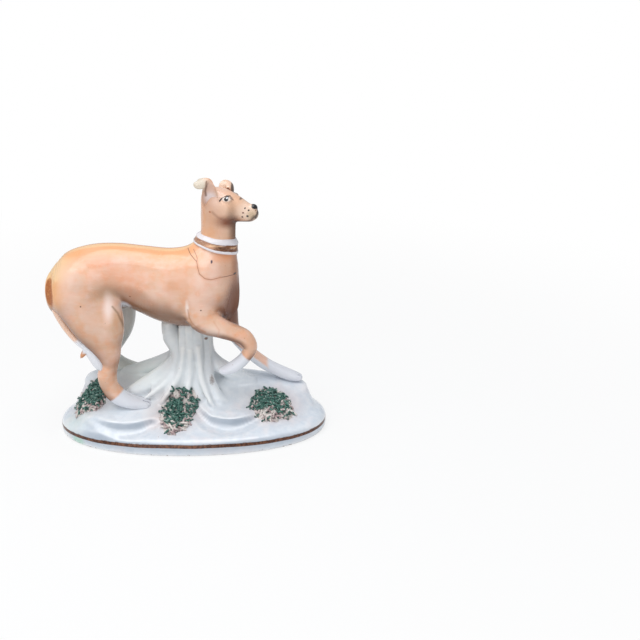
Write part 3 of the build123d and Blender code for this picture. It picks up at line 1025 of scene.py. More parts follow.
@dataclass
class Tail:
    """The roll of clay pressed along the thigh, with its bare stub and white plume."""

    depth: float = 8.8
    width: float = 10.0
    ripple: float = 0.05
    steps: int = 12
    columns: int = 48
    stub_steps: int = 5
    stub_columns: int = 24

    def build(self, coat: Material) -> None:
        """Carries an oval along the tail's path, and a smaller one along the stub.

        The oval's reach is rippled by ripple x sin(3 t + 5 s) x sin(9 s), for s from 0 to 1 along the path.

        Args:
            coat: The tail's enamel.
        """
        roll = smooth_rows(limb_rows(TAIL, self.depth, self.width), self.steps)
        s = np.linspace(0, 1, len(roll))[:, None, None]
        rings = limb_rings(roll, self.columns)
        t = circle(self.columns)[None, :, None]
        rings = rings + (rings - roll[:, None, :3]) * self.ripple * np.sin(3 * t + 5 * s) * np.sin(9 * s)
        stub = limb_rings(smooth_rows(cord_rows(TAIL_STUB), self.stub_steps), self.stub_columns)
        made = write_mesh("tail_glazed", *joined([carried(rings), carried(stub)]))
        put_attribute(made, "hollow", np.zeros(len(made.data.vertices)))
        finished(made, "tail", Slot.TAIL, coat)


class EarForm(Enum):
    """The two ears: rings of x, y, z, half width, half thickness, cup, and the way that the hollow opens."""

    NEAR = (
        (19.2, -6.8, 184.6, 5.6, 1.5, 0.3, 0.35, -0.92, 0.1),
        (19.3, -9, 189.2, 6.3, 1.3, 0.55, 0.32, -0.92, 0.12),
        (19.5, -10.8, 194.2, 5.9, 1.1, 0.7, 0.3, -0.93, 0.15),
        (19.6, -11.6, 198.4, 4.5, 1, 0.55, 0.25, -0.92, 0.3),
        (19.4, -12, 201, 3.1, 1.2, 0.2, 0.15, -0.8, 0.6),
        (17.6, -12.4, 201.4, 3.3, 1.4, 0.05, 0.05, -0.76, 0.66),
        (15, -12.8, 200.4, 4.2, 1.4, 0, 0, -0.78, 0.62),
        (12, -13, 199.6, 3.4, 1.2, 0, -0.05, -0.78, 0.62),
        (9.3, -13, 200.2, 1.2, 0.8, 0, -0.05, -0.78, 0.62),
    )
    FAR = (
        (30, 7.2, 182.5, 5, 1.6, 0.05, 0.25, -0.95, 0.2),
        (30.2, 7.9, 187, 5.4, 1.6, 0.05, 0.25, -0.95, 0.2),
        (30.5, 8.6, 190.6, 5.5, 1.6, 0, 0.25, -0.92, 0.3),
        (31, 9, 193, 5.2, 1.6, 0, 0.3, -0.75, 0.6),
        (32.4, 8.6, 194, 4.6, 1.6, 0, 0.45, -0.5, 0.75),
        (34.4, 7.9, 193.2, 3.9, 1.4, 0, 0.8, -0.35, 0.5),
        (35.5, 7.4, 190.8, 3, 1.1, 0, 0.95, -0.25, 0.2),
        (35.9, 7.1, 188.2, 1.4, 0.8, 0, 0.95, -0.25, 0.1),
    )


@dataclass
class Ear:
    """A folded ear, as a cupped oval carried along its midline."""

    node: str
    form: EarForm
    least_half: float = 0.4
    steps: int = 7
    columns: int = 56

    def build(self, coat: Material) -> None:
        """Works out the ear and dresses it.

        A point is the middle + side x width x cos t + opening x (cup x width x cos² t + thickness x sin t).

        Args:
            coat: The ears' enamel.
        """
        rows = smooth_rows(np.array(self.form.value), self.steps)
        rows[:, :5] *= UNIT
        rows[:, 3:5] = np.maximum(rows[:, 3:5], self.least_half * UNIT)
        run = unit(np.gradient(rows[:, :3], axis=0))
        side = unit(np.cross(run, rows[:, 6:9]))
        opening = np.cross(side, run)
        t = circle(self.columns)[None, :, None]
        width, thick, cup = (rows[:, k, None, None] for k in (3, 4, 5))
        lift = cup * width * np.cos(t) ** 2 + thick * np.sin(t)
        rings = rows[:, None, :3] + side[:, None] * width * np.cos(t) + opening[:, None] * lift
        made = write_mesh(self.node + "_glazed", *carried(rings))
        # The inside of the cup is stored as hollow, where the enamel paints shade
        hollow = np.repeat(rows[:, 5], self.columns) * np.tile(np.maximum(np.sin(t.ravel()), 0), len(rows))
        put_attribute(made, "hollow", np.append(hollow, (0, 0)))
        finished(made, self.node, Slot.EAR, coat)


# The strap's profile: how far up it is, and its half size. The last three rows lie inside the neck
STRAP: Rows = (
    (0, 0.925),
    (0.02, 0.965),
    (0.07, 0.995),
    (0.13, 1),
    (0.19, 0.992),
    (0.23, 0.972),
    (0.27, 0.958),
    (0.45, 0.935),
    (0.62, 0.905),
    (0.655, 0.918),
    (0.69, 0.922),
    (0.75, 0.902),
    (0.84, 0.85),
    (0.93, 0.8),
    (1, 0.745),
    (1, 0.6),
    (0.5, 0.62),
    (0, 0.7),
)


@dataclass
class Collar:
    """The applied strap, with two raised edges and a flat band between them."""

    depth: float = 34.8
    width: float = 28.4
    flare: float = 0.02
    foot: Row = (0.2105, 0, 0.7020)
    crown: Row = (0.2330, 0, 0.7560)
    facing: float = 72.5
    facing_gain: float = 7.0
    waves: Row = (0.25, 0.15)
    columns: int = 160

    def build(self, gilding: Material) -> None:
        """Carries the strap's profile round the neck.

        Each ring lies between foot and crown, and two waves of sin 2 t and sin 5 t move it along the neck.

        Args:
            gilding: The strap's glaze and gilding.
        """
        level, share = np.array(STRAP).T
        low, high = place(*self.foot), place(*self.crown)
        rows = np.zeros((len(STRAP), 7))
        rows[:, :3] = low + (high - low) * level[:, None]
        rows[:, 3] = share * self.depth * UNIT / 2
        rows[:, 4] = share * self.width * UNIT / 2 * (1 + self.flare * level)
        rows[:, 5] = np.radians(self.facing + self.facing_gain * level)
        rings = limb_rings(rows, self.columns)
        t = circle(self.columns)[None, :, None]
        slow, quick = self.waves
        rings = rings + unit(high - low) * UNIT * (slow * np.sin(2 * t + 0.6) + quick * np.sin(5 * t))
        faces = grid_faces(len(rows), self.columns, loop=True)
        made = write_mesh("collar_glazed", rings.reshape(-1, 3), faces)
        put_attribute(made, "level", np.repeat(level, self.columns))
        finished(made, "collar", Slot.COLLAR, gilding)


# The upright rim: the height of each oval, and how far it lies inside the base's outline
RIM: Rows = ((0, 1.2), (2, 0.2), (5, 0), (8.6, 0.3))
# The apron and the slope up to the crest, and then the two ledges. A row is an oval: along, across, up, half
# length and half depth, as shares of the base and of the mound's rise
MOUND: Rows = (
    (0, 0.01, 0.09, 0.967, 0.945),
    (0, 0.055, 0.18, 0.925, 0.835),
    (0, 0.13, 0.31, 0.895, 0.7),
    (0, 0.2, 0.46, 0.87, 0.575),
    (-0.01, 0.265, 0.62, 0.838, 0.455),
    (-0.115, 0.31, 0.77, 0.725, 0.335),
    (-0.22, 0.335, 0.91, 0.55, 0.21),
    (-0.2, 0.345, 1, 0.3, 0.08),
)
LEFT_LEDGE: Rows = (
    (-0.475, -0.25, 0.03, 0.4, 0.54),
    (-0.475, -0.25, 0.15, 0.38, 0.51),
    (-0.475, -0.24, 0.33, 0.34, 0.41),
    (-0.475, -0.23, 0.4, 0.28, 0.31),
)
RIGHT_LEDGE: Rows = (
    (0.335, -0.15, 0, 0.34, 0.48),
    (0.335, -0.15, 0.15, 0.322, 0.455),
    (0.335, -0.145, 0.32, 0.295, 0.42),
    (0.335, -0.14, 0.38, 0.24, 0.33),
)
# The grooves under the ledges' lips, as rows of x, y, z and radius
GROOVES: tuple[Rows, ...] = (
    (
        (-76, -31, 23.5, 4), (-69, -37.5, 21.5, 5), (-60, -43, 20.5, 6.2), (-49, -45.4, 20, 7.2),
        (-38, -43.6, 20, 7.2), (-29, -38, 21, 6),
    ),
    (
        (3, -22, 26, 4), (8, -29, 23, 5.5), (15, -36, 21, 7), (26, -40.6, 20.4, 8.2),
        (37, -39.8, 20.4, 8), (47, -34, 21.4, 6.5), (55, -27, 24, 4),
    ),
)
# The stump's flutes, which spread into roots: five round the front, one behind, and two long ones to the left
ROOTS: tuple[Rows, ...] = (
    (
        (-16, 1, 85, 7.2), (-14.5, 0, 78, 8), (-9.5, -1, 68, 7.8), (-7, -1, 58, 7.6),
        (-9, -2, 49, 8), (-16, -3, 41, 8.5), (-26, -5, 34, 7),
    ),
    (
        (-3, -2, 84, 8.5), (-3, -2, 70, 7.2), (-3, -2.5, 60, 6.4), (-4.5, -4, 50, 6),
        (-7, -5.5, 42, 5.5), (-10, -7.5, 35, 4.5), (-13, -10, 29, 2.5),
    ),
    (
        (3, -2, 84, 9), (4, -2.5, 68, 7.6), (3.5, -3, 58, 6.4), (3.5, -4.5, 48, 5.7),
        (4, -6.5, 40, 5.2), (5, -9, 33.5, 4.4), (6, -12, 28, 2.5),
    ),
    (
        (9.5, 0, 84, 8), (9.8, 0, 68, 7), (9.8, -1, 57, 6.5), (10.5, -3, 48, 6),
        (13, -5.5, 40, 5.5), (18, -9, 32, 4.5), (23, -12, 26, 3),
    ),
    (
        (11, 4, 84, 6.5), (11.5, 4, 70, 6), (12, 4, 60, 6.5), (17, 5, 52, 6.5),
        (25, 6, 46, 6), (34, 8, 40, 6), (44, 9, 34, 4),
    ),
    ((0, 10, 84, 9), (0, 10, 68, 8.5), (0, 11, 56, 9.5), (0, 14, 47, 12), (0, 17, 38, 12)),
    (
        (-8, 8, 72, 6), (-10, 9, 60, 7), (-16, 11, 53, 7), (-27, 13, 47, 7),
        (-40, 14, 43, 6), (-54, 15, 39, 5),
    ),
    (
        (-9, 0, 60, 6), (-14, -1, 51, 6.5), (-23, -2, 44, 6.5), (-34, -4, 38, 6),
        (-46, -6, 32, 4.5), (-58, -8, 26, 3),
    ),
)
# The finer ridges that run down from the stump and fade into the rock
RIBS: tuple[Rows, ...] = (
    (
        (-5, -9.6, 70, 1.2), (-6.5, -9.4, 58, 1.8), (-10, -10.6, 47, 2.2), (-16, -12.5, 37, 2.2),
        (-21, -14, 30, 1.6), (-25, -15, 25, 1),
    ),
    (
        (0.2, -9.6, 68, 1.2), (-0.5, -9.2, 57, 1.8), (-1.5, -10.8, 46, 2.2), (-3.5, -13.5, 36, 2.2),
        (-6, -16.5, 29, 1.4), (-8, -19, 25, 0.8),
    ),
    (
        (6.5, -9.6, 70, 1.2), (7, -9.6, 57, 1.8), (8, -11, 46, 2.2), (11, -13.5, 36, 2.2),
        (14, -16, 29, 1.6), (17, -19, 24, 1),
    ),
    ((-16, -1, 57, 1.5), (-26, -3, 49.5, 1.8), (-38, -5, 42, 1.8), (-48, -7, 36, 1)),
    ((-13, -7, 50, 1.5), (-20, -10, 42, 1.8), (-29, -12.5, 35, 1.8), (-36, -14, 30, 1)),
)
# The slab's profile: its reach from the vent's edge (0) to the rim (1) and back over the top, and its level
SLAB: Rows = (
    (0, 0.6), (0.02, 0.25), (0.2, 0.3), (0.4, 0.35), (0.6, 0.35), (0.8, 0.3), (0.97, 0.25), (0.99, 0.35),
    (1, 0.8), (1, 3.5), (0.99, 3.9), (0.97, 4), (0.6, 4), (0.3, 4), (0.02, 4), (0, 3.6),
)


def mound_oval(row: Row) -> Row:
    """Turns a row of shares into an oval's middle, level and half sizes, in millimetres."""
    along, across, up, length, depth = row
    middle = (along * HALF_LENGTH, across * HALF_DEPTH)
    return (*middle, RIM_HEIGHT + up * MOUND_RISE, length * HALF_LENGTH, depth * HALF_DEPTH)


@dataclass
class Ground:
    """The rock base and the stump, modelled as one skin, and the slab that closes the base."""

    slab_length: float = 198.0
    slab_depth: float = 98.0
    slab_thickness: float = 4.0
    slab_columns: int = 128
    seat_half: Row = (99.3, 49.3)
    seat_gap: float = 0.2
    vent: float = 6.0
    wobble: float = 0.12
    oval_power: float = 2.15
    pitch: float = 0.8
    clay: ClayField = field(init=False)

    def mound(self) -> Array:
        """Gives the mound's ovals: an upright rim, the apron and the slope up to the crest."""
        rim = [(0, 0, z * UNIT, HALF_LENGTH - inset * UNIT, HALF_DEPTH - inset * UNIT) for z, inset in RIM]
        return np.array(rim + [mound_oval(row) for row in MOUND])

    def model(self) -> None:
        """Models the mound, its ledges, the stump with its roots, and the slab's seat."""
        clay = ClayField((-108, -58, -2.4), (108, 58, 98), self.pitch)
        clay.heap(self.mound(), blend=0.5, edge=1.0, power=self.oval_power)
        for ledge in (LEFT_LEDGE, RIGHT_LEDGE):
            clay.heap(np.array([mound_oval(row) for row in ledge]), blend=3.5, edge=2.5)
        for rows in GROOVES:
            clay.limb(cord_rows(rows), blend=3.2, carve=True)
        for blend, cords in ((5.0, ROOTS), (3.6, RIBS)):
            for rows in cords:
                clay.limb(cord_rows(rows), blend)
        half = [size * UNIT for size in self.seat_half]
        seat = [(0, 0, level, *half) for level in (-3.0 * UNIT, self.slab_thickness * UNIT + self.seat_gap)]
        clay.heap(np.array(seat), blend=0.3, edge=0.2, carve=True)
        self.clay = clay

    def build(self, glaze: Material) -> None:
        """Cuts the skin into mound and stump and dresses them.

        Args:
            glaze: The glaze of both.
        """
        foot = tuple(place(0, 0.07, 0.125))
        stump = Joint("tree_stump", foot, 90.0, ((-60, 60), (-60, 60), (24, 120)), tilt=-26.0)
        cutter = Cutter(self.clay, rounds=8)
        cutter.cut([stump])
        chosen = cutter.ahead(stump)
        cutter.piece("tree_stump", chosen, Slot.STUMP, glaze)
        cutter.piece("base_mound", ~chosen, Slot.BASE, glaze)

    def slab(self, bisque: Material) -> None:
        """Works out the slab: its profile runs from the vent's circle to the rim's oval and back.

        With w as the reach, x = -a / 3 x (1 - w) + (hole (1 - w) + a w) cos t, and y = (hole (1 - w) + b w)
        sin t. The underside is uneven by wobble x sin(7 t + 9 w) x sin(4 pi w).

        Args:
            bisque: The unglazed clay.
        """
        w, level = np.array(SLAB).T[:, :, None]
        t = circle(self.slab_columns)[None, :]
        hole, a, b = self.vent / 2 * UNIT, self.slab_length / 2 * UNIT, self.slab_depth / 2 * UNIT
        x = -a / 3 * (1 - w) + (hole * (1 - w) + a * w) * np.cos(t)
        y = (hole * (1 - w) + b * w) * np.sin(t)
        under = np.clip(1 - level, 0, 1)
        z = level * UNIT + under * self.wobble * UNIT * np.sin(7 * t + 9 * w) * np.sin(4 * np.pi * w)
        points = np.stack([x, y, np.broadcast_to(z, x.shape)], -1)
        faces = grid_faces(len(SLAB), self.slab_columns, loop=True)
        made = write_mesh("underside_slab", points.reshape(-1, 3), faces)
        finished(made, "base_underside", Slot.BISQUE, bisque)


@dataclass
class Tuft:
    """A clump of sieved clay strands on a low bed, pressed onto the mound."""

    node: str
    x: float
    y: float
    half_length: float
    half_depth: float
    turn: float
    seed: int
    strands: int = 150
    height: float = 4.6
    dome: float = 0.62
    thickness: float = 1.85
    cap: float = 35.0
    sunk: float = 2.5
    lowered: float = 0.4
    bed_rings: int = 14
    bed_columns: int = 48
    filled: float = 0.96
    golden_angle: float = 137.508
    strand_rings: int = 6
    strand_columns: int = 6
    bed_bare: float = 0.62

    def outline(self, angle: Array) -> Array:
        """Gives the ragged outline's reach: 1 plus three small waves."""
        reach = 1 + 0.07 * np.sin(3 * angle + self.seed) + 0.05 * np.sin(5 * angle + 2 * self.seed)
        return reach + 0.04 * np.sin(8 * angle)

    def spread(self, reach: Array, angle: Array) -> tuple[Array, Array]:
        """Places points of the tuft, by reach and angle, on the floor plan.

        Args:
            reach: How far out each lies, from 0 to 1.
            angle: Its angle.

        Returns:
            The points' x and y.
        """
        turn = math.radians(self.turn)
        u, v = self.half_length * reach * np.cos(angle), self.half_depth * reach * np.sin(angle)
        x = self.x + u * math.cos(turn) - v * math.sin(turn)
        y = self.y + u * math.sin(turn) + v * math.cos(turn)
        return x * UNIT, y * UNIT

    def level(self, ground: ClayField, x: Array, y: Array) -> Array:
        """Gives the ground under some places, where the tuft doesn't climb the stump."""
        return np.minimum(ground.top(x, y), self.cap * UNIT)

    def bed(self, ground: ClayField) -> tuple[Array, Array]:
        """Works out the bed as two skins, of which the lower is sunk into the ground.

        The upper lies at the ground + height (dome (1 - reach⁴) + 0.09 sin(2.1 x) sin(2.4 y)) - lowered.

        Args:
            ground: The field of the ground.

        Returns:
            The points and the faces of the closed bed.
        """
        rings = np.linspace(0.02, 1, self.bed_rings)
        turns = circle(self.bed_columns)
        reach, angle = np.meshgrid(rings, turns, indexing="ij")
        x, y = self.spread(reach * self.outline(angle), angle)
        level = self.level(ground, x, y)
        bumps = 0.09 * np.sin(x * 2.1) * np.sin(y * 2.4)
        top = level + self.height * UNIT * (self.dome * (1 - reach**4) + bumps) - self.lowered * UNIT
        upper = np.stack([x, y, top], -1)
        lower = np.stack([x, y, level - self.sunk * UNIT], -1)[::-1]
        return carried(np.concatenate([upper, lower]))

    def ways(self, rng: np.random.Generator, up: Array) -> tuple[Array, Array, Array]:
        """Draws how each strand lies: any heading along the ground, and a small pitch off it.

        Args:
            rng: The random numbers.
            up: The way out of the ground under each strand.

        Returns:
            The ways ahead, over and aside.
        """
        heading = rng.uniform(0, 2 * np.pi, self.strands)
        flat = np.stack([np.cos(heading), np.sin(heading), np.zeros(self.strands)], -1)
        flat = unit(flat - up * np.sum(flat * up, 1, keepdims=True))
        pitch = np.radians(rng.normal(6, 17, self.strands))[:, None]
        ahead = flat * np.cos(pitch) + up * np.sin(pitch)
        over = up * np.cos(pitch) - flat * np.sin(pitch)
        return ahead, over, np.cross(ahead, over)

    def cords(self, rng: np.random.Generator, middle: Array, ways: tuple[Array, Array, Array]) -> Array:
        """Carries a thinning circle along each strand's bent path.

        For s from -1 to 1 the path is middle + ahead x length x s + over x bend x s² + aside x sway x s², and
        the circle's half size falls with the root of 1 - 0.45 s⁴.

        Args:
            rng: The random numbers.
            middle: Each strand's middle.
            ways: The ways ahead, over and aside.

        Returns:
            Points with a strand axis, a ring axis, a step axis and x, y, z.
        """
        ahead, over, aside = (way[:, None] for way in ways)
        each = (self.strands, 1, 1)
        length = rng.uniform(2.2, 4.3, each) * UNIT
        bend = rng.uniform(-1.5, 0.3, each) * UNIT
        sway = rng.normal(0, 0.9, each) * UNIT
        s = np.linspace(-1, 1, self.strand_rings)[None, :, None]
        path = middle[:, None] + ahead * s * length + over * bend * s**2 + aside * sway * s**2
        radius = self.thickness / 2 * UNIT * rng.uniform(0.82, 1.15, each) * np.sqrt(1 - 0.45 * s**4)
        t = circle(self.strand_columns)[None, None, :, None]
        across = over[:, None] * np.cos(t) + aside[:, None] * np.sin(t)
        return path[:, :, None] + radius[:, :, None] * across

    def build(self, ground: ClayField, clay: Material) -> None:
        """Lays the strands at random over the bed. Downhill and at the edge they are barer of green.

        Args:
            ground: The field of the ground that carries the tuft.
            clay: The strands' glaze.
        """
        rng = np.random.default_rng(self.seed)
        n = self.strands
        reach = np.sqrt((np.arange(n) + 0.5) / n) * rng.uniform(0.9, 1.04, n)
        angle = np.radians(self.golden_angle) * np.arange(n) + rng.normal(0, 0.25, n)
        x, y = self.spread(reach * self.filled * self.outline(angle), angle)
        dome = self.dome * (1 - np.minimum(reach, 1) ** 4)
        lift = self.height * (dome + rng.uniform(-0.05, 0.34, n)) * UNIT
        level = self.level(ground, x, y)
        ways = self.ways(rng, ground.normals(np.stack([x, y, level], -1)))
        rings = self.cords(rng, np.stack([x, y, level + lift], -1), ways)
        parts = [self.bed(ground)] + [carried(ring) for ring in rings]
        made = write_mesh(self.node + "_strands", *joined(parts))
        downhill = (self.y * UNIT - y) / (self.half_depth * UNIT)
        bare = 0.32 + 0.30 * downhill + 0.60 * (reach - 0.6) + rng.normal(0, 0.24, n)
        of_strands = np.repeat(np.clip(bare, 0, 1), len(parts[1][0]))
        put_attribute(made, "bare", np.append(np.full(len(parts[0][0]), self.bed_bare), of_strands))
        finished(made, self.node, Slot.STRANDS, clay)


def tone(paint: Row) -> Row:
    """Turns a paint colour given in 0 to 255 into the linear colour that a shader takes."""
    share = np.array(paint) / 255
    linear = np.where(share <= 0.04045, share / 12.92, ((share + 0.055) / 1.055) ** 2.4)
    return (*(float(v) for v in linear), 1.0)


@dataclass(frozen=True)
class Value:
    """A number, a vector or a colour that changes over the surface, as the socket that gives it."""

    sheet: "Sheet"
    socket: bpy.types.NodeSocket

    def __add__(self, other: object) -> "Value":
        """Gives self + other."""
        return self.sheet.math("ADD", self, other)

    def __sub__(self, other: object) -> "Value":
        """Gives self - other."""
        return self.sheet.math("SUBTRACT", self, other)

    def __rsub__(self, other: object) -> "Value":
        """Gives other - self."""
        return self.sheet.math("SUBTRACT", other, self)

    def __mul__(self, other: object) -> "Value":
        """Gives self x other."""
        return self.sheet.math("MULTIPLY", self, other)

    def __or__(self, other: object) -> "Value":
        """Gives the greater of two masks."""
        return self.sheet.math("MAXIMUM", self, other)

    __radd__ = __add__
    __rmul__ = __mul__

    def size(self) -> "Value":
        """Gives the number without its sign."""
        return self.sheet.math("ABSOLUTE", self)

    def rise(self, low: float, high: float) -> "Value":
        """Goes smoothly from 0 at low to 1 at high, or the other way where low is the greater."""
        if low > high:
            return 1 - self.rise(high, low)
        settings = {"interpolation_type": "SMOOTHSTEP"}
        return self.sheet.node("ShaderNodeMapRange", settings, {0: self, 1: low, 2: high})


class Sheet:
    """One material's nodes. Its patterns read the piece's own coordinates, in the tables' millimetres."""

    def __init__(self, name: str) -> None:
        """Makes an empty material.

        Args:
            name: The material's name.
        """
        self.material = bpy.data.materials.new(name)
        self.material.use_nodes = True
        self.tree = self.material.node_tree
        self.tree.nodes.clear()

    @cached_property
    def at(self) -> Value:
        """The place on the piece."""
        return self.vector("SCALE", self.node("ShaderNodeTexCoord", {}, {}, 3), scale=METRE / UNIT)

    @cached_property
    def x(self) -> Value:
        """How far along the base the place is."""
        return self.part(self.at, 0)

    @cached_property
    def y(self) -> Value:
        """How far back the place is."""
        return self.part(self.at, 1)

    @cached_property
    def z(self) -> Value:
        """How high the place is."""
        return self.part(self.at, 2)

    @cached_property
    def facing(self) -> Value:
        """The way that the surface faces, in the piece's own axes."""
        return self.node("ShaderNodeTexCoord", {}, {}, 1)

    @cached_property
    def back(self) -> Value:
        """How far the surface faces the back, which is negative where it faces the front."""
        return self.part(self.facing, 1)

    @cached_property
    def top(self) -> Value:
        """How far the surface faces up."""
        return self.part(self.facing, 2)

    @cached_property
    def lumps(self) -> Value:
        """Broad clouds, from 0 to 1."""
        return self.noise(0.16, 3)

    @cached_property
    def grain(self) -> Value:
        """Fine clouds, from 0 to 1."""
        return self.noise(0.9, 4)

    def node(self, kind: str, settings: dict, inputs: dict, output: int = 0) -> Value:
        """Adds a node.

        Args:
            kind: The node's type.
            settings: Its settings, which are set first.
            inputs: The values or links of its sockets.
            output: Which output is wanted.

        Returns:
            The output.
        """
        made = self.tree.nodes.new(kind)
        for key, value in settings.items():
            setattr(made, key, value)
        for key, value in inputs.items():
            if isinstance(value, Value):
                self.tree.links.new(value.socket, made.inputs[key])
            else:
                made.inputs[key].default_value = value
        return Value(self, made.outputs[output])

    def math(self, operation: str, first: object, second: object = 0.0, clamp: bool = False) -> Value:
        """Adds a Math node."""
        settings = {"operation": operation, "use_clamp": clamp}
        return self.node("ShaderNodeMath", settings, {0: first, 1: second})

    def vector(
        self, operation: str, first: object, second: object = (0.0, 0.0, 0.0), scale: object = 1.0
    ) -> Value:
        """Adds a Vector Math node, which gives a number for a length, a distance or a dot product."""
        number = operation in ("LENGTH", "DISTANCE", "DOT_PRODUCT")
        inputs = {0: first, 1: second, 3: scale}
        return self.node("ShaderNodeVectorMath", {"operation": operation}, inputs, int(number))

    def part(self, vector: Value, number: int) -> Value:
        """Gives the x (0), y (1) or z (2) of a vector."""
        return self.node("ShaderNodeSeparateXYZ", {}, {0: vector}, number)

    def noise(self, scale: float, detail: float, stretch: Row | None = None) -> Value:
        """Gives cloudy noise from 0 to 1.

        Args:
            scale: How many waves a millimetre has.
            detail: How many finer layers it has.
            stretch: How much closer the waves lie along x, y and z.

        Returns:
            The noise.
        """
        where = self.vector("MULTIPLY", self.at, stretch) if stretch else self.at
        inputs = {"Vector": where, "Scale": scale, "Detail": detail, "Roughness": 0.55}
        return self.node("ShaderNodeTexNoise", {}, inputs)

    def mix(self, mask: object, under: object, over: object) -> Value:
        """Lays one colour over another where the mask is 1. A plain colour is given in 0 to 255."""
        under, over = (tone(paint) if isinstance(paint, tuple) else paint for paint in (under, over))
        return self.node("ShaderNodeMix", {"data_type": "RGBA"}, {0: mask, 6: under, 7: over}, 2)

    def layers(self, colour: object, *coats: tuple[object, object]) -> Value:
        """Lays several colours over one another.

        Args:
            colour: The colour below them all.
            coats: Each coat's mask and colour, from the bottom up.

        Returns:
            The colour that is seen.
        """
        for mask, over in coats:
            colour = self.mix(mask, colour, over)
        return colour

    def spot(
        self, centre: Row, half: Row, soft: float = 0.3, ragged: float = 0.0, at: Value | None = None
    ) -> Value:
        """Gives 1 inside an ellipsoid and 0 outside it.

        Args:
            centre: Its middle.
            half: Its half sizes.
            soft: How wide its edge is, as a share of its size.
            ragged: How far the grain moves the edge.
            at: The places, if they aren't the piece's own.

        Returns:
            The mask.
        """
        way = self.vector("SUBTRACT", at or self.at, centre)
        reach = self.vector("LENGTH", self.vector("MULTIPLY", way, tuple(1 / h for h in half)))
        if ragged:
            reach = reach + (self.grain - 0.5) * ragged
        return reach.rise(1 + soft, 1 - soft)

    def stroke(self, points: Rows, width: float, soft: float, at: Value) -> Value:
        """Gives 1 on a brush stroke, by the least distance to the lines between its points.

        Args:
            points: The points that it runs through.
            width: Its width.
            soft: How wide its edge is.
            at: The places.

        Returns:
            The mask.
        """
        nearest: Value | None = None
        for start, end in zip(points[:-1], points[1:]):
            run = np.subtract(end, start)
            away = self.vector("SUBTRACT", at, start)
            share = self.vector("DOT_PRODUCT", away, tuple((run / (run @ run)).tolist()))
            along = self.vector("SCALE", tuple(run.tolist()), scale=self.math("ADD", share, 0.0, clamp=True))
            distance = self.vector("DISTANCE", away, along)
            nearest = self.math("MINIMUM", nearest, distance) if nearest else distance
        return nearest.rise(width / 2 + soft, width / 2 - soft)

    def profile(self) -> Value:
        """Gives the place seen from the head's side: its reach towards the nose, nothing, and its height.

        Returns:
            The place.
        """
        turn = math.radians(Dog.head_turn)
        ahead = self.vector("DOT_PRODUCT", self.at, (math.cos(turn), math.sin(turn), 0.0))
        reach = ahead - Dog.head_axis * math.cos(turn)
        return self.node("ShaderNodeCombineXYZ", {}, {0: reach, 2: self.z})

    def specks(self, density: float, size: float) -> Value:
        """Gives small round specks, one in each cell of a jumbled lattice."""
        cells = self.node("ShaderNodeTexVoronoi", {}, {"Vector": self.at, "Scale": density})
        return cells.rise(size, size * 0.5)

    def attribute(self, name: str) -> Value:
        """Reads a number stored on the mesh."""
        return self.node("ShaderNodeAttribute", {"attribute_name": name}, {}, 2)

    def surface(self, inputs: dict, height: Value, depth: float) -> Material:
        """Adds the shader with a bump.

        Args:
            inputs: The shader's sockets.
            height: The bump's height.
            depth: How far the bump reaches, in millimetres.

        Returns:
            The finished material.
        """
        relief = {"Strength": 1.0, "Distance": depth * UNIT / METRE, "Height": height}
        bump = self.node("ShaderNodeBump", {}, relief)
        self.end(self.node("ShaderNodeBsdfPrincipled", {}, {**inputs, "Normal": bump}))
        return self.material

    def end(self, shader: Value) -> None:
        """Joins the shader to the material's output."""
        output = self.tree.nodes.new("ShaderNodeOutputMaterial")
        self.tree.links.new(shader.socket, output.inputs[0])


@dataclass(frozen=True)
class Dab:
    """A soft patch of colour, placed as seen from the side.

    It has the x and z of its middle, its half sizes, its colour and strength, and its edge's softness and
    raggedness.
    """

    at: Row
    half: Row
    colour: Row
    strength: float = 1.0
    soft: float = 0.5
    ragged: float = 0.0

    def mask(self, sheet: Sheet, flat: Value) -> Value:
        """Gives the patch's mask."""
        (x, z), (a, b) = self.at, self.half
        return sheet.spot((x, 0, z), (a, 1, b), self.soft, self.ragged, flat) * self.strength


@dataclass(frozen=True)
class Line:
    """A drawn or cracked line, placed as seen from the side.

    It has the x and z of its points, its width, its colour and strength, and how soft its edge is.
    """

    points: Rows
    width: float
    colour: Row
    strength: float = 1.0
    soft: float = 0.25

    def mask(self, sheet: Sheet, flat: Value) -> Value:
        """Gives the line's mask."""
        points = tuple((x, 0.0, z) for x, z in self.points)
        return sheet.stroke(points, self.width, self.soft, flat) * self.strength


WHITE, CREAM, PINK = (228, 232, 238), (240, 226, 206), (238, 202, 186)
FAWN, PEACH, TAN = (228, 184, 155), (232, 172, 136), (206, 156, 122)
ORANGE, OLIVE = (240, 160, 88), (158, 136, 106)
SLATE, INK = (176, 182, 178), (22, 20, 24)

# The crack that runs down from the collar and along the shoulder, its brown halo, and the loop beside it
CRACK_PATH: Rows = (
    (2.1, 149.3), (4.6, 146.5), (7.9, 143.9), (9.4, 143), (10.4, 139), (11.7, 135.2), (15.6, 131.9),
    (20, 130.9), (26.5, 131.7), (37.1, 130),
)
HALO_PATH: Rows = ((9.4, 143), (11.7, 135.2), (15.6, 131.9), (20, 130.9), (26.5, 131.7))
LOOP_PATH: Rows = ((6.6, 149.6), (8.4, 147.2), (9.8, 144.8), (9.4, 143))
CRACK = Line(CRACK_PATH, 0.45, (120, 70, 52), 0.85, 0.25)
CRACK_HALO = Line(HALO_PATH, 2.2, (214, 146, 108), 0.40, 1.0)
CRACK_LOOP = Line(LOOP_PATH, 0.40, (150, 96, 78), 0.75, 0.25)
# Painted shade: the dark line in the crease under the upper arm's edge
ARM_CREASE_SHADE_PATH: Rows = ((1.8, 107), (2.6, 101), (4.6, 97.4), (9, 93.6), (14.3, 90.9))
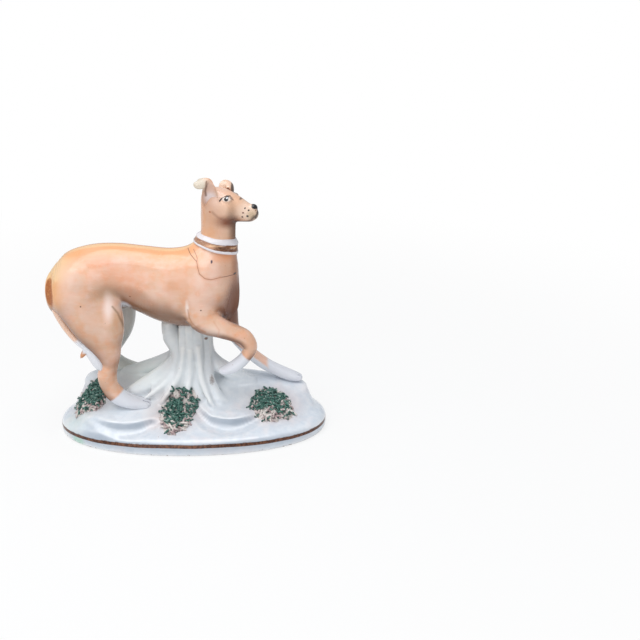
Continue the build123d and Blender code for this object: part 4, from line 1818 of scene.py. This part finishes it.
# The body's stains and tints; painted shade under the collar, down the front of the neck and in the creases
# of arm and thigh; painted highlights on the thigh and beside the arm; its crack, a line on the foreleg, and
# its small dark specks
BODY_PAINT = (
    Dab((-57.5, 122), (9, 6.5), OLIVE, 0.6, 0.9, 0.5),
    Dab((-78, 127.5), (6, 5), OLIVE, 0.28, 0.9, 0.6),
    Dab((-70, 96), (11, 15), OLIVE, 0.24, 0.9, 0.5),
    Dab((-52, 96), (5, 14), OLIVE, 0.3, 0.9, 0.5),
    Dab((-20, 100), (26, 9), OLIVE, 0.2, 0.9, 0.5),
    Dab((-63, 143.5), (10, 3.5), (236, 150, 110), 0.5, 0.8, 0.8),
    Dab((-48, 131), (16, 10), (236, 160, 125), 0.4, 0.9, 0.6),
    Dab((-86, 133), (8, 9), PINK, 0.5, 0.9, 0.5),
    Dab((24, 134), (12, 11), PINK, 0.4, 0.9, 0.5),
    Dab((-5, 128), (10, 9), PEACH, 0.5, 0.9, 0.5),
    Dab((33, 136), (7, 8), TAN, 0.45, 0.9, 0.4),
    # Painted shade: under the collar, and down the front of the neck below it
    Dab((33, 146), (8, 4), (222, 140, 84), 0.6, 0.8, 0.4),
    Dab((38.5, 137), (3.4, 13), (160, 100, 64), 0.7, 0.7, 0.3),
    # Painted highlights: on the thigh, and beside the upper arm's crease
    Dab((-57.5, 108), (3, 9), (252, 232, 224), 0.75, 0.9, 0.3),
    Dab((1.3, 108), (1.3, 5), (252, 236, 226), 0.7, 0.8, 0.2),
    Dab((20, 92.5), (7, 4.5), (246, 222, 206), 0.5, 0.9, 0.3),
    Dab((48, 78), (4.5, 8), (222, 176, 146), 0.5, 0.8, 0.3),
    CRACK,
    CRACK_HALO,
    CRACK_LOOP,
    # Painted shade in the creases: under the upper arm, and where the thigh folds into the belly
    Line(ARM_CREASE_SHADE_PATH, 1.1, (176, 112, 70), 0.65, 0.9),
    Line(((-54.6, 109), (-51, 104), (-48.6, 97), (-47, 90)), 1, (120, 92, 62), 0.7, 0.8),
    Line(((21, 99), (25, 93), (23.6, 86)), 0.9, (206, 136, 92), 0.35, 0.8),
    Dab((20.4, 142.8), (0.75, 1), (60, 48, 70), 0.95, 0.4, 0.4),
    Dab((36.6, 130.6), (0.9, 0.7), INK, 0.9, 0.4, 0.3),
    Dab((11.8, 107.8), (0.55, 0.5), (80, 46, 34), 0.9, 0.4),
    Dab((-76.9, 111.3), (0.5, 0.6), (80, 46, 34), 0.9, 0.4),
    Dab((-41.5, 116), (0.6, 0.5), (110, 60, 40), 0.8, 0.4),
)
# The face, by reach towards the nose and height: blushes and tints, painted shade under the jaw and chin,
# along the cheek and down the front of the neck, the eye with a painted highlight, nose and whisker dots
CHIN_SHADE_PATH: Rows = ((15.5, 171), (19, 170.5), (24, 170.8), (28.2, 172.3), (30.7, 175.4))
FACE_PAINT = (
    Dab((24, 178), (10, 7), CREAM, 0.4, 0.9, 0.4),
    Dab((6, 186), (6, 8), PINK, 0.55, 0.9, 0.4),
    Dab((12, 184), (7, 5), (240, 200, 168), 0.5, 0.9, 0.3),
    Dab((17, 180), (5, 6), TAN, 0.35, 0.9, 0.4),
    Dab((5, 177), (10, 8), TAN, 0.35, 0.9, 0.4),
    Dab((27.5, 180), (6, 4.5), (250, 220, 200), 0.5, 0.9, 0.3),
    Dab((29, 176.5), (3, 3.4), (160, 142, 92), 0.5, 0.8, 0.4),
    # Painted shade: under the jaw, down the front of the neck, and along the cheek's lower edge
    Dab((13, 170.8), (8.5, 4.4), (126, 66, 36), 0.95, 0.75, 0.3),
    Dab((15.4, 160), (3.6, 18), (84, 52, 32), 0.92, 0.75, 0.2),
    Line(((1.5, 178.6), (6, 174.4), (12, 172.2), (18, 171.4)), 1.5, (126, 72, 44), 0.6, 1.6),
    Dab((0, 168), (6, 11), TAN, 0.4, 0.9, 0.3),
    Dab((-2, 160), (5, 6), ORANGE, 0.25, 0.9, 0.3),
    # Painted shade under the chin
    Line(CHIN_SHADE_PATH, 1.7, (74, 48, 32), 0.92, 1.2),
    Dab((11.3, 188.3), (3.2, 1.45), (238, 224, 214), 1, 0.3),
    Dab((11.5, 188.5), (1.65, 1.5), (18, 15, 18), 1, 0.12),
    # A painted highlight on the pupil
    Dab((11.9, 189.3), (0.55, 0.42), (246, 246, 250), 1, 0.3),
    Line(((6.7, 187.1), (8.3, 189.2), (10.6, 190.2), (12.8, 190)), 0.6, (46, 36, 36), 0.95, 0.22),
    Line(((12.8, 190), (14.5, 188.8), (15.8, 187.3)), 0.42, (120, 86, 68), 0.85, 0.25),
    Line(((6.7, 187.1), (7.7, 188.5)), 1.05, (24, 20, 24), 1, 0.22),
    Dab((20, 188.6), (1.1, 1.5), (60, 46, 44), 0.9, 0.4, 0.3),
    Dab((31.3, 183.5), (3.1, 2.7), INK, 1, 0.1, 0.06),
    Line(((32.4, 181), (32.6, 177.5), (31.2, 174)), 1.2, INK, 0.9, 0.6),
    Dab((24.3, 181.7), (0.55, 0.55), INK, 0.95, 0.3),
    Dab((26.9, 180.2), (0.62, 0.6), INK, 0.95, 0.3),
    Dab((23.2, 178.5), (0.62, 0.62), (96, 40, 26), 0.95, 0.3),
    Dab((26.2, 175.9), (0.85, 0.8), INK, 0.95, 0.3),
    Dab((22.5, 175.3), (0.7, 0.62), (70, 34, 26), 0.95, 0.3),
    Dab((-0.6, 178.8), (0.8, 0.75), (176, 104, 62), 0.9, 0.4),
)
# The ears: the near ear's grey fold, its pale inside, the painted shadow under its fold and the line along
# its edge, and then the far ear's pale back and the painted shade inside its turned tip
EAR_PAINT = (
    Dab((11, 200.2), (8, 5.4), (208, 195, 176), 1, 0.35, 0.15),
    Dab((20.6, 189.4), (4.2, 5), (242, 226, 224), 0.9, 0.6, 0.2),
    Dab((21.5, 197.5), (3, 4.6), (224, 186, 168), 0.65, 0.6, 0.2),
    # Painted shadow cast by the folded flap
    Line(((18.6, 201.8), (18.4, 198.6), (17.6, 195), (17.8, 191.5)), 1.2, (116, 78, 56), 0.85, 0.8),
    Line(((20.6, 203.4), (23.6, 200.5), (25, 196.5), (25.6, 191.5)), 0.9, (196, 140, 108), 0.6, 0.6),
    Dab((29.5, 193), (4, 4), (236, 208, 184), 0.8, 0.6, 0.2),
    # Painted shade inside the far ear's turned-over tip
    Dab((36.2, 192.5), (1.5, 5), (84, 60, 46), 0.95, 0.3, 0.1),
)


class Coat(Enum):
    """Which piece a coat of enamel is brushed over."""

    BODY = "body"
    HEAD = "head"
    EARS = "ears"
    TAIL = "tail"


@dataclass(frozen=True)
class Enamel:
    """The fawn enamel brushed over the dog, with its white socks, stains, cracks and painted face, and with
    painted shade and painted highlights.
    """

    coat: Coat
    gloss: float = 0.24
    coat_weight: float = 0.35
    coat_roughness: float = 0.08
    bump: float = 0.10
    crack_depth: float = 2.0

    def ground(self, sheet: Sheet, streaks: Value) -> Value:
        """Mixes the fawn with its clouds and its brush streaks, browner in the hollows as painted shade and
        as colour gathered there, and paler on the ridges.
        """
        hollow = sheet.attribute("hollow")
        return sheet.layers(
            FAWN,
            (sheet.lumps.rise(0.35, 0.68), PEACH),
            (sheet.noise(0.06, 2).rise(0.42, 0.66) * 0.55, PINK),
            (streaks.rise(0.52, 0.74) * 0.18, TAN),
            (streaks.rise(0.46, 0.28) * 0.18, (250, 222, 200)),
            # Painted shade: browner in the hollows, also standing for colour gathered there; paler on the
            # ridges
            (hollow.rise(0.03, 0.42) * 0.60, (176, 116, 76)),
            (hollow.rise(-0.05, -0.5) * 0.40, (250, 226, 206)),
        )

    def spine(self, sheet: Sheet, colour: Value, edge: Value) -> Value:
        """Paints shade on the underside, and lays orange and straw stripes along the spine and over the rump,
        the straw along the top partly a painted highlight.

        Args:
            sheet: The material's nodes.
            colour: The colour below.
            edge: Fine unevenness for the masks' edges.

        Returns:
            The colour.
        """
        side, top = sheet.back + edge * 0.7, sheet.top
        back = (sheet.z + sheet.x * 0.12).rise(118, 136) * sheet.x.rise(20, 4) * top.rise(0.2, 0.5)
        rump = (sheet.x + sheet.z * -0.25 + edge * 12).rise(-112, -130) * sheet.z.rise(96, 116)
        return sheet.layers(
            colour,
            # Painted shade: dark brown where the surface faces down
            (top.rise(0.05, -0.50) * 0.90, (112, 68, 42)),
            (back * side.size().rise(0.84, 0.40) * 0.75, (240, 172, 116)),
            # The pale straw stripe along the top of the back, partly a painted highlight
            (back * side.rise(-0.30, -0.16) * side.rise(0.10, 0.0) * 0.62, (246, 210, 158)),
            (back * side.rise(0.04, 0.14) * side.rise(0.62, 0.40) * 0.75, (214, 132, 70)),
            (rump * 0.72, (238, 172, 104)),
            (rump * top.rise(0.25, 0.5) * top.rise(0.85, 0.7) * 0.6, (248, 216, 160)),
        )

    def stains(self, sheet: Sheet, colour: Value) -> Value:
        """Lays the brown of the chest, which is brown paint and painted shade between the forelegs together,
        and the mottled brown where the tail begins.

        Args:
            sheet: The material's nodes.
            colour: The colour below.

        Returns:
            The colour.
        """
        # The chest's brown, partly paint and partly painted shade between the forelegs
        chest = sheet.spot((37.5, -3.0, 99.0), (13.0, 17.0, 29.0), 0.75, 0.3)
        patch = sheet.spot((-102.5, -13.0, 117.5), (5.6, 9.5, 11.5), 0.15, 0.3)
        mottled = sheet.mix(sheet.grain.rise(0.54, 0.66), (168, 90, 30), (214, 150, 80))
        return sheet.layers(colour, (chest.rise(0.0, 0.6) * 0.92, (112, 60, 30)), (patch * 0.95, mottled))

    def white(self, sheet: Sheet, colour: Value, edge: Value) -> Value:
        """Lays the grey of the far thigh's inside, the pale far shank, and the white socks and sheath.

        Args:
            sheet: The material's nodes.
            colour: The colour below.
            edge: Fine unevenness for the masks' edges.

        Returns:
            The colour.
        """
        ragged = edge * 5
        near, far = sheet.y.rise(2, -2), sheet.y.rise(-2, 2)
        toes = (sheet.x + 55.6) * 0.647 - (sheet.z - 36.7) * 0.762 + ragged
        toes = toes.rise(-0.8, 1.6) * sheet.z.rise(52, 46)
        paw = (sheet.x - 42.9) * -0.69 - (sheet.z - 71.0) * 0.72 + ragged
        paw = paw.rise(-0.8, 1.4) * sheet.z.rise(84, 80) * sheet.x.rise(16, 20) * sheet.z.rise(50, 54)
        reach = sheet.z - 60.0 + (sheet.x - 42.0) * 0.81 + ragged
        reach = reach.rise(0.4, -2.4) * sheet.z.rise(84, 78)
        reach = (reach | (sheet.x + ragged).rise(57, 61)) * sheet.x.rise(10, 22)
        inward = sheet.back.rise(0.25, -0.30)
        inner = inward * sheet.z.rise(112, 104) * sheet.x.rise(-38, -42) * sheet.x.rise(-96, -84)
        shank = sheet.x.rise(-20, -30) * sheet.z.rise(62, 54)
        socks = near * toes * sheet.x.rise(0, -9) | near * paw | far * reach
        sheath = sheet.spot((-50, -5, 107), (8.5, 12, 5.2), 0.35, 0.3)
        return sheet.layers(
            colour,
            (far * inner * 0.92, sheet.mix(sheet.lumps, SLATE, (206, 206, 200))),
            (far * shank * 0.9, (214, 220, 214)),
            (socks | sheath, sheet.mix(sheet.lumps, WHITE, (222, 222, 230))),
        )

    def tail(self, sheet: Sheet, colour: Value) -> Value:
        """Lays the tail's brown root, its bare stub, its white plume and the painted shade at its tip, where
        it lies on the hock.

        Args:
            sheet: The material's nodes.
            colour: The colour below.

        Returns:
            The colour.
        """
        bare = sheet.z.rise(104, 107) * sheet.z.rise(126, 122)
        root = sheet.mix(sheet.grain.rise(0.5, 0.66), (152, 92, 38), (206, 150, 86))
        plume = ((sheet.z - 82.0) * -0.8 + (sheet.x + 84.0) * 0.6 + (sheet.grain - 0.5) * 3).rise(-1.0, 3.0)
        return sheet.layers(
            colour,
            (0.45, (246, 214, 190)),
            (plume, sheet.mix(sheet.lumps, WHITE, (226, 224, 228))),
            (sheet.spot((-80.0, -19, 70.0), (3.6, 5, 3.4), 0.3, 0.4), (214, 146, 96)),
            (bare * 0.9, root),
            # Painted shade where the tail's tip lies against the hock
            (sheet.spot((-69, -16, 53), (5, 7, 4), 0.5, 0.3) * 0.8, (150, 104, 72)),
        )

    def make(self) -> Material:
        """Builds the material.

        Returns:
            The material.
        """
        sheet = Sheet("fawn_enamel_" + self.coat.value)
        streaks = sheet.noise(0.35, 4, stretch=(0.22, 1.0, 1.0))
        colour = self.ground(sheet, streaks)
        flat = sheet.vector("MULTIPLY", sheet.at, (1, 0, 1))
        near, paint = 1.0, ()
        dull = sheet.spot((36, -3, 164), (8, 9, 18), 0.7, 0.2)
        specks = sheet.specks(0.10, 0.045) | sheet.specks(0.22, 0.05) * 0.5
        height = sheet.grain * 0.35 + streaks * 0.12 + sheet.lumps * 1.4 - specks * 0.5
        if self.coat is Coat.BODY:
            near, paint = sheet.y.rise(1, -1), BODY_PAINT
            edge = (sheet.grain - 0.5) * 0.25
            colour = self.white(sheet, self.stains(sheet, self.spine(sheet, colour, edge)), edge)
            chest, root = ((39, -3, 99), (9, 14, 24)), ((-104, -12, 118), (7, 11, 13))
            dull = sheet.spot(*chest, 0.4, 0.2) | sheet.spot(*root, 0.4, 0.2)
            crack = CRACK.mask(sheet, flat) | CRACK_LOOP.mask(sheet, flat)
            height = height - crack * near * self.crack_depth
        elif self.coat is Coat.HEAD:
            flat, paint = sheet.profile(), FACE_PAINT
            colour = sheet.mix(0.40, colour, (222, 180, 148))
        elif self.coat is Coat.EARS:
            paint = EAR_PAINT
            colour = sheet.mix(0.35, colour, (238, 206, 182))
        else:
            colour = self.tail(sheet, colour)
        marks = [(mark.mask(sheet, flat) * near, mark.colour) for mark in paint]
        inputs = {
            "Base Color": sheet.layers(colour, *marks, (specks * 0.55, (132, 84, 58))),
            "Roughness": self.gloss + (sheet.lumps - 0.5) * 0.16 + specks * 0.2 + dull * 0.45,
            "Coat Weight": (1 - dull) * self.coat_weight,
            "Coat Roughness": self.coat_roughness,
        }
        return sheet.surface(inputs, height, self.bump)


@dataclass(frozen=True)
class PearlGlaze:
    """The bluish white lead glaze of base and stump, which pools in hollows, with painted shade, painted
    highlights and painted light, and with its line of gilding.
    """

    gloss: float = 0.16
    gilt_level: float = 7.2
    gilt_sag: float = 1.3
    gilt_metal: float = 0.45
    coat_weight: float = 0.3
    coat_roughness: float = 0.05
    bump: float = 0.16

    def pooling_and_painted_light(self, sheet: Sheet, clouds: Value) -> Value:
        """Mixes the glaze: grey where it pools, painted shade of warm grey in the deepest hollows, white on
        the ridges, partly a painted highlight, greyer on the stump, painted light over the ground under the
        dog, and painted shade on the rim and the ledges' front faces.

        Args:
            sheet: The material's nodes.
            clouds: Very broad clouds.

        Returns:
            The colour.
        """
        hollow = sheet.attribute("hollow")
        # The low faces that look to the front, the rim's and the ledges', for the painted shade below
        rim = sheet.back.rise(-0.45, -0.88) * sheet.z.rise(30, 22) * sheet.z.rise(-2, 12)
        return sheet.layers(
            (227, 233, 240),
            (sheet.lumps.rise(0.3, 0.7), (212, 221, 231)),
            (clouds.rise(0.48, 0.7) * 0.5, (236, 228, 230)),
            (hollow.rise(0.02, 0.55) * sheet.z.rise(22, 64).rise(-0.4, 1.0) * 0.66, (152, 156, 166)),
            # Painted shade: warm grey in the deepest hollows
            (hollow.rise(0.25, 0.9) * 0.45, (150, 136, 122)),
            # White on the ridges, partly a painted highlight
            (hollow.rise(-0.02, -0.35) * 0.75, (252, 252, 252)),
            (sheet.spot((0, 4, 78), (34, 30, 34), 0.7, 0.4) * 0.55, (188, 188, 180)),
            # Painted light: near-white over the ground under the dog's body, where its shadow falls
            (sheet.spot((-20, 0, 36), (60, 34, 18), 0.8, 0.3) * 0.6, (248, 252, 252)),
            # Painted shade on the rim and the ledges' faces that look to the front
            (rim * 0.85, (150, 162, 176)),
        )

    def stains(self, sheet: Sheet, colour: Value) -> Value:
        """Lays the pinkish halo round the tufts, the green smears and the chips.

        Args:
            sheet: The material's nodes.
            colour: The colour below.

        Returns:
            The colour.
        """
        halo = (206, 176, 168)
        left, middle = ((-82, -3, 22), (17, 18, 11)), ((-12, -25, 24), (18, 25, 13))
        for centre, half in (left, middle, ((64, -13, 22), (23, 20, 11))):
            colour = sheet.mix(sheet.spot(centre, half, 0.55, 0.4) * 0.42, colour, halo)
        green = sheet.spot((-87, -33, 3.5), (6, 6, 3.2), 0.5, 0.9)
        green = green | sheet.spot((-92, -22, 18), (12, 12, 12), 0.9, 0.8) * 0.35
        chips = sheet.spot((12.6, -6.9, 77), (1.3, 3, 1.1), 0.4, 0.4)
        chips = chips | sheet.spot((16.5, -12, 44), (2.2, 5, 4.2), 0.4, 1.1) * 0.7
        rim = sheet.z.rise(2.2, 0.6) * sheet.noise(0.35, 3).rise(0.60, 0.68)
        return sheet.layers(
            colour,
            (green * 0.60, (160, 210, 184)),
            (sheet.spot((-45, 5, 46), (22, 18, 9), 0.8, 0.6) * 0.30, (226, 244, 232)),
            (chips | rim, (120, 96, 84)),
        )

    def make(self) -> Material:
        """Builds the material.

        Returns:
            The material.
        """
        sheet = Sheet("pearl_glaze")
        clouds = sheet.noise(0.05, 3)
        colour = self.stains(sheet, self.pooling_and_painted_light(sheet, clouds))
        wander = sheet.noise(0.03, 2) - 0.5
        sag = sheet.math("COSINE", sheet.x * 0.018) * self.gilt_sag
        level = sheet.z - sag - self.gilt_level + wander * 1.2
        edge = (sheet.grain - 0.5) * 0.3
        band = (level + edge).size().rise(1.45, 1.05) * sheet.noise(0.30, 4).rise(0.80, 0.72)
        gilt = sheet.mix(sheet.noise(0.5, 4).rise(0.4, 0.65), (74, 42, 30), (120, 76, 52))
        line = (level - 1.35 + edge * 0.5).size().rise(0.45, 0.15) * sheet.noise(0.2, 3).rise(0.5, 0.62)
        specks = sheet.specks(0.09, 0.05) | sheet.specks(0.2, 0.045)
        coats = (band, gilt), (line * 0.6, (84, 54, 42)), (specks * 0.45, (126, 104, 96))
        inputs = {
            "Base Color": sheet.layers(colour, *coats),
            "Roughness": self.gloss + (sheet.lumps - 0.5) * 0.10 + band * 0.14,
            "Metallic": band * self.gilt_metal,
            "Coat Weight": self.coat_weight,
            "Coat Roughness": self.coat_roughness,
        }
        height = sheet.lumps * 1.4 + sheet.grain * 0.2 - specks * 0.4 + band * 0.2 + clouds
        return sheet.surface(inputs, height, self.bump)


@dataclass(frozen=True)
class Gilding:
    """White glaze with a worn band of copper-coloured gilding between its raised edges, and painted
    highlights streaked along the band.
    """

    gloss: float = 0.22
    metal: float = 0.55
    bump: float = 0.10

    def make(self) -> Material:
        """Builds the material.

        Returns:
            The material.
        """
        sheet = Sheet("worn_gilding")
        level = sheet.attribute("level") + (sheet.noise(0.5, 3) - 0.5) * 0.05
        band = level.rise(0.215, 0.25) * level.rise(0.665, 0.635)
        worn = sheet.noise(0.30, 3, stretch=(0.5, 0.5, 1.6)).rise(0.70, 0.56)
        gilt = sheet.layers(
            (206, 158, 130),
            ((sheet.x + (sheet.grain - 0.5) * 14).rise(14, 32), (128, 84, 58)),
            # Painted highlights: pale streaks along the band
            (sheet.noise(0.28, 3, stretch=(0.6, 0.6, 1.8)).rise(0.52, 0.68) * 0.8, (232, 190, 150)),
            (sheet.noise(0.35, 3, stretch=(0.6, 0.6, 1.8)).rise(0.46, 0.34) * 0.8, (78, 52, 42)),
        )
        line = (level - 0.645).size().rise(0.03, 0.008) | (level - 0.235).size().rise(0.03, 0.008)
        colour = sheet.layers(
            (238, 236, 240),
            (sheet.lumps, (222, 216, 220)),
            (level.rise(0.10, -0.02) * 0.5, (216, 170, 138)),
            (band * (worn * 0.25 + 0.75), gilt),
            (line * 0.5, (120, 76, 58)),
        )
        rough = self.gloss + (sheet.grain - 0.5) * 0.2
        inputs = {"Base Color": colour, "Roughness": rough, "Metallic": band * worn * self.metal}
        return sheet.surface(inputs, sheet.lumps + sheet.grain * 0.5, self.bump)


@dataclass(frozen=True)
class SievedClay:
    """The tufts' clay, dabbed with teal green over pinkish grey and white slip, and dark in its crumbs."""

    gloss: float = 0.30
    bump: float = 0.25

    def make(self) -> Material:
        """Builds the material.

        Returns:
            The material.
        """
        sheet = Sheet("sieved_clay")
        fine, patches = sheet.noise(0.8, 3), sheet.noise(0.22, 3)
        bare = sheet.attribute("bare") + (fine - 0.5) * 0.5 + (patches - 0.5) * 0.7
        green = sheet.mix(fine.rise(0.4, 0.62), (38, 74, 70), (84, 132, 118))
        green = sheet.mix(sheet.noise(0.5, 2).rise(0.56, 0.68), green, (150, 176, 166))
        clay = sheet.mix(patches.rise(0.42, 0.58), (176, 152, 152), (226, 218, 212))
        crumbs = sheet.noise(1.4, 3).rise(0.64, 0.72) * 0.6
        colour = sheet.layers(green, (bare.rise(0.50, 0.62), clay), (crumbs, (52, 40, 44)))
        rough = self.gloss + (fine - 0.5) * 0.3
        return sheet.surface({"Base Color": colour, "Roughness": rough}, sheet.noise(1.6, 3), self.bump)


@dataclass(frozen=True)
class Bisque:
    """The unglazed clay of the underside, with its dirt and wiping marks."""

    gloss: float = 0.8
    bump: float = 0.2

    def make(self) -> Material:
        """Builds the material.

        Returns:
            The material.
        """
        sheet = Sheet("bisque")
        wiped = sheet.noise(0.25, 4, stretch=(0.2, 1, 1))
        colour = sheet.layers(
            (228, 220, 204),
            (sheet.lumps, (206, 192, 170)),
            (wiped.rise(0.55, 0.75) * 0.6, (176, 156, 132)),
            (sheet.specks(0.2, 0.08), (120, 98, 80)),
        )
        inputs = {"Base Color": colour, "Roughness": self.gloss + (sheet.grain - 0.5) * 0.2}
        return sheet.surface(inputs, sheet.grain + wiped, self.bump)


@dataclass
class Studio:
    """The camera, the floor and the lights, with places in metres and angles in degrees."""

    lens: float = 56.25
    film: float = 36.0
    camera_at: Row = (0.087, -0.721, 0.374)
    camera_down: float = 21.57
    camera_yaw: float = -1.09
    room_light: float = 0.52
    room_colour: Row = (0.93, 0.96, 1.0, 1.0)
    floor_colour: Row = (0.86, 0.86, 0.86, 1.0)
    white: Row = (1.0, 1.0, 1.0, 1.0)

    def camera(self) -> None:
        """Sets the camera at the photograph's place."""
        data = bpy.data.cameras.new("camera")
        data.lens, data.sensor_width = self.lens, self.film
        data.clip_start, data.clip_end = 0.01, 50.0
        made = linked("camera", data)
        made.location = [number * UNIT for number in self.camera_at]
        made.rotation_euler = (math.radians(90 - self.camera_down), 0.0, math.radians(self.camera_yaw))
        bpy.context.scene.camera = made

    def lamp(self, name: str, at: Row, aim: Row, size: float, power: float) -> None:
        """Hangs a square soft lamp.

        Args:
            name: The lamp's name.
            at: Its place.
            aim: The point that it faces.
            size: The length of its side.
            power: Its power in watts.
        """
        data = bpy.data.lights.new(name, "AREA")
        data.shape, data.size, data.energy = "SQUARE", size, power
        made = linked(name, data)
        made.location = at
        way = np.subtract(aim, at)
        lean = math.atan2(math.hypot(way[0], way[1]), -way[2])
        made.rotation_euler = (lean, 0.0, math.atan2(way[1], way[0]) - math.pi / 2)

    def floor(self) -> None:
        """Lays a wide pale floor, part of whose white is for the camera alone."""
        mesh = bpy.data.meshes.new("studio_floor")
        mesh.from_pydata([(-9, -9, 0), (9, -9, 0), (9, 12, 0), (-9, 12, 0)], [], [(0, 1, 2, 3)])
        made = linked("studio_floor", mesh)
        sheet = Sheet("studio_floor_white")
        pale = sheet.node("ShaderNodeBsdfDiffuse", {}, {"Color": self.floor_colour})
        glow = sheet.node("ShaderNodeEmission", {}, {"Color": self.white, "Strength": 1.0})
        seen = sheet.node("ShaderNodeLightPath", {}, {})
        away = sheet.vector("LENGTH", sheet.at).rise(150, 700)
        share = seen * (away * 0.26 + 0.74)
        sheet.end(sheet.node("ShaderNodeMixShader", {}, {0: share, 1: pale, 2: glow}))
        mesh.materials.append(sheet.material)

    def world(self) -> None:
        """Fills the room with even light, which the camera sees as white."""
        world = bpy.data.worlds.new("studio_room")
        world.use_nodes = True
        tree = world.node_tree
        tree.nodes.clear()
        path, joint = tree.nodes.new("ShaderNodeLightPath"), tree.nodes.new("ShaderNodeMixShader")
        tree.links.new(path.outputs["Is Camera Ray"], joint.inputs[0])
        for number, light in enumerate(((self.room_colour, self.room_light), (self.white, 1.0)), 1):
            room = tree.nodes.new("ShaderNodeBackground")
            room.inputs[0].default_value, room.inputs[1].default_value = light
            tree.links.new(room.outputs[0], joint.inputs[number])
        output = tree.nodes.new("ShaderNodeOutputWorld")
        tree.links.new(joint.outputs[0], output.inputs[0])
        bpy.context.scene.world = world

    def build(self) -> None:
        """Sets up the studio."""
        self.camera()
        self.floor()
        self.world()
        self.lamp("overhead", at=(-0.20, -0.25, 1.25), aim=(0, 0, 0.1), size=1.1, power=11.0)
        self.lamp("front", at=(-0.45, -1.35, 0.62), aim=(0, 0, 0.08), size=1.1, power=3.9)
        bpy.context.scene.view_settings.view_transform = "Standard"


def main() -> None:
    """Builds the figure, piece by piece, and the studio round it."""
    logging.basicConfig(level=logging.INFO, format="%(message)s")
    Studio().build()
    coat, face, ears = (Enamel(coat).make() for coat in (Coat.BODY, Coat.HEAD, Coat.EARS))
    Dog().build(coat, face)
    Tail().build(Enamel(Coat.TAIL).make())
    Ear("near_ear", EarForm.NEAR).build(ears)
    Ear("far_ear", EarForm.FAR).build(ears)
    Collar().build(Gilding().make())
    ground = Ground()
    ground.model()
    ground.build(PearlGlaze().make())
    ground.slab(Bisque().make())
    strands = SievedClay().make()
    for tuft in (
        Tuft("leaf_clump_left", -80.5, -6.5, 12.0, 14.0, turn=-8.0, seed=3),
        Tuft("leaf_clump_middle", -9.3, -26.5, 12.5, 19.5, turn=-20.0, seed=5),
        Tuft("leaf_clump_right", 62.3, -15.5, 17.0, 14.5, turn=-4.0, seed=8),
    ):
        tuft.build(ground.clay, strands)


if __name__ == "__main__":
    main()
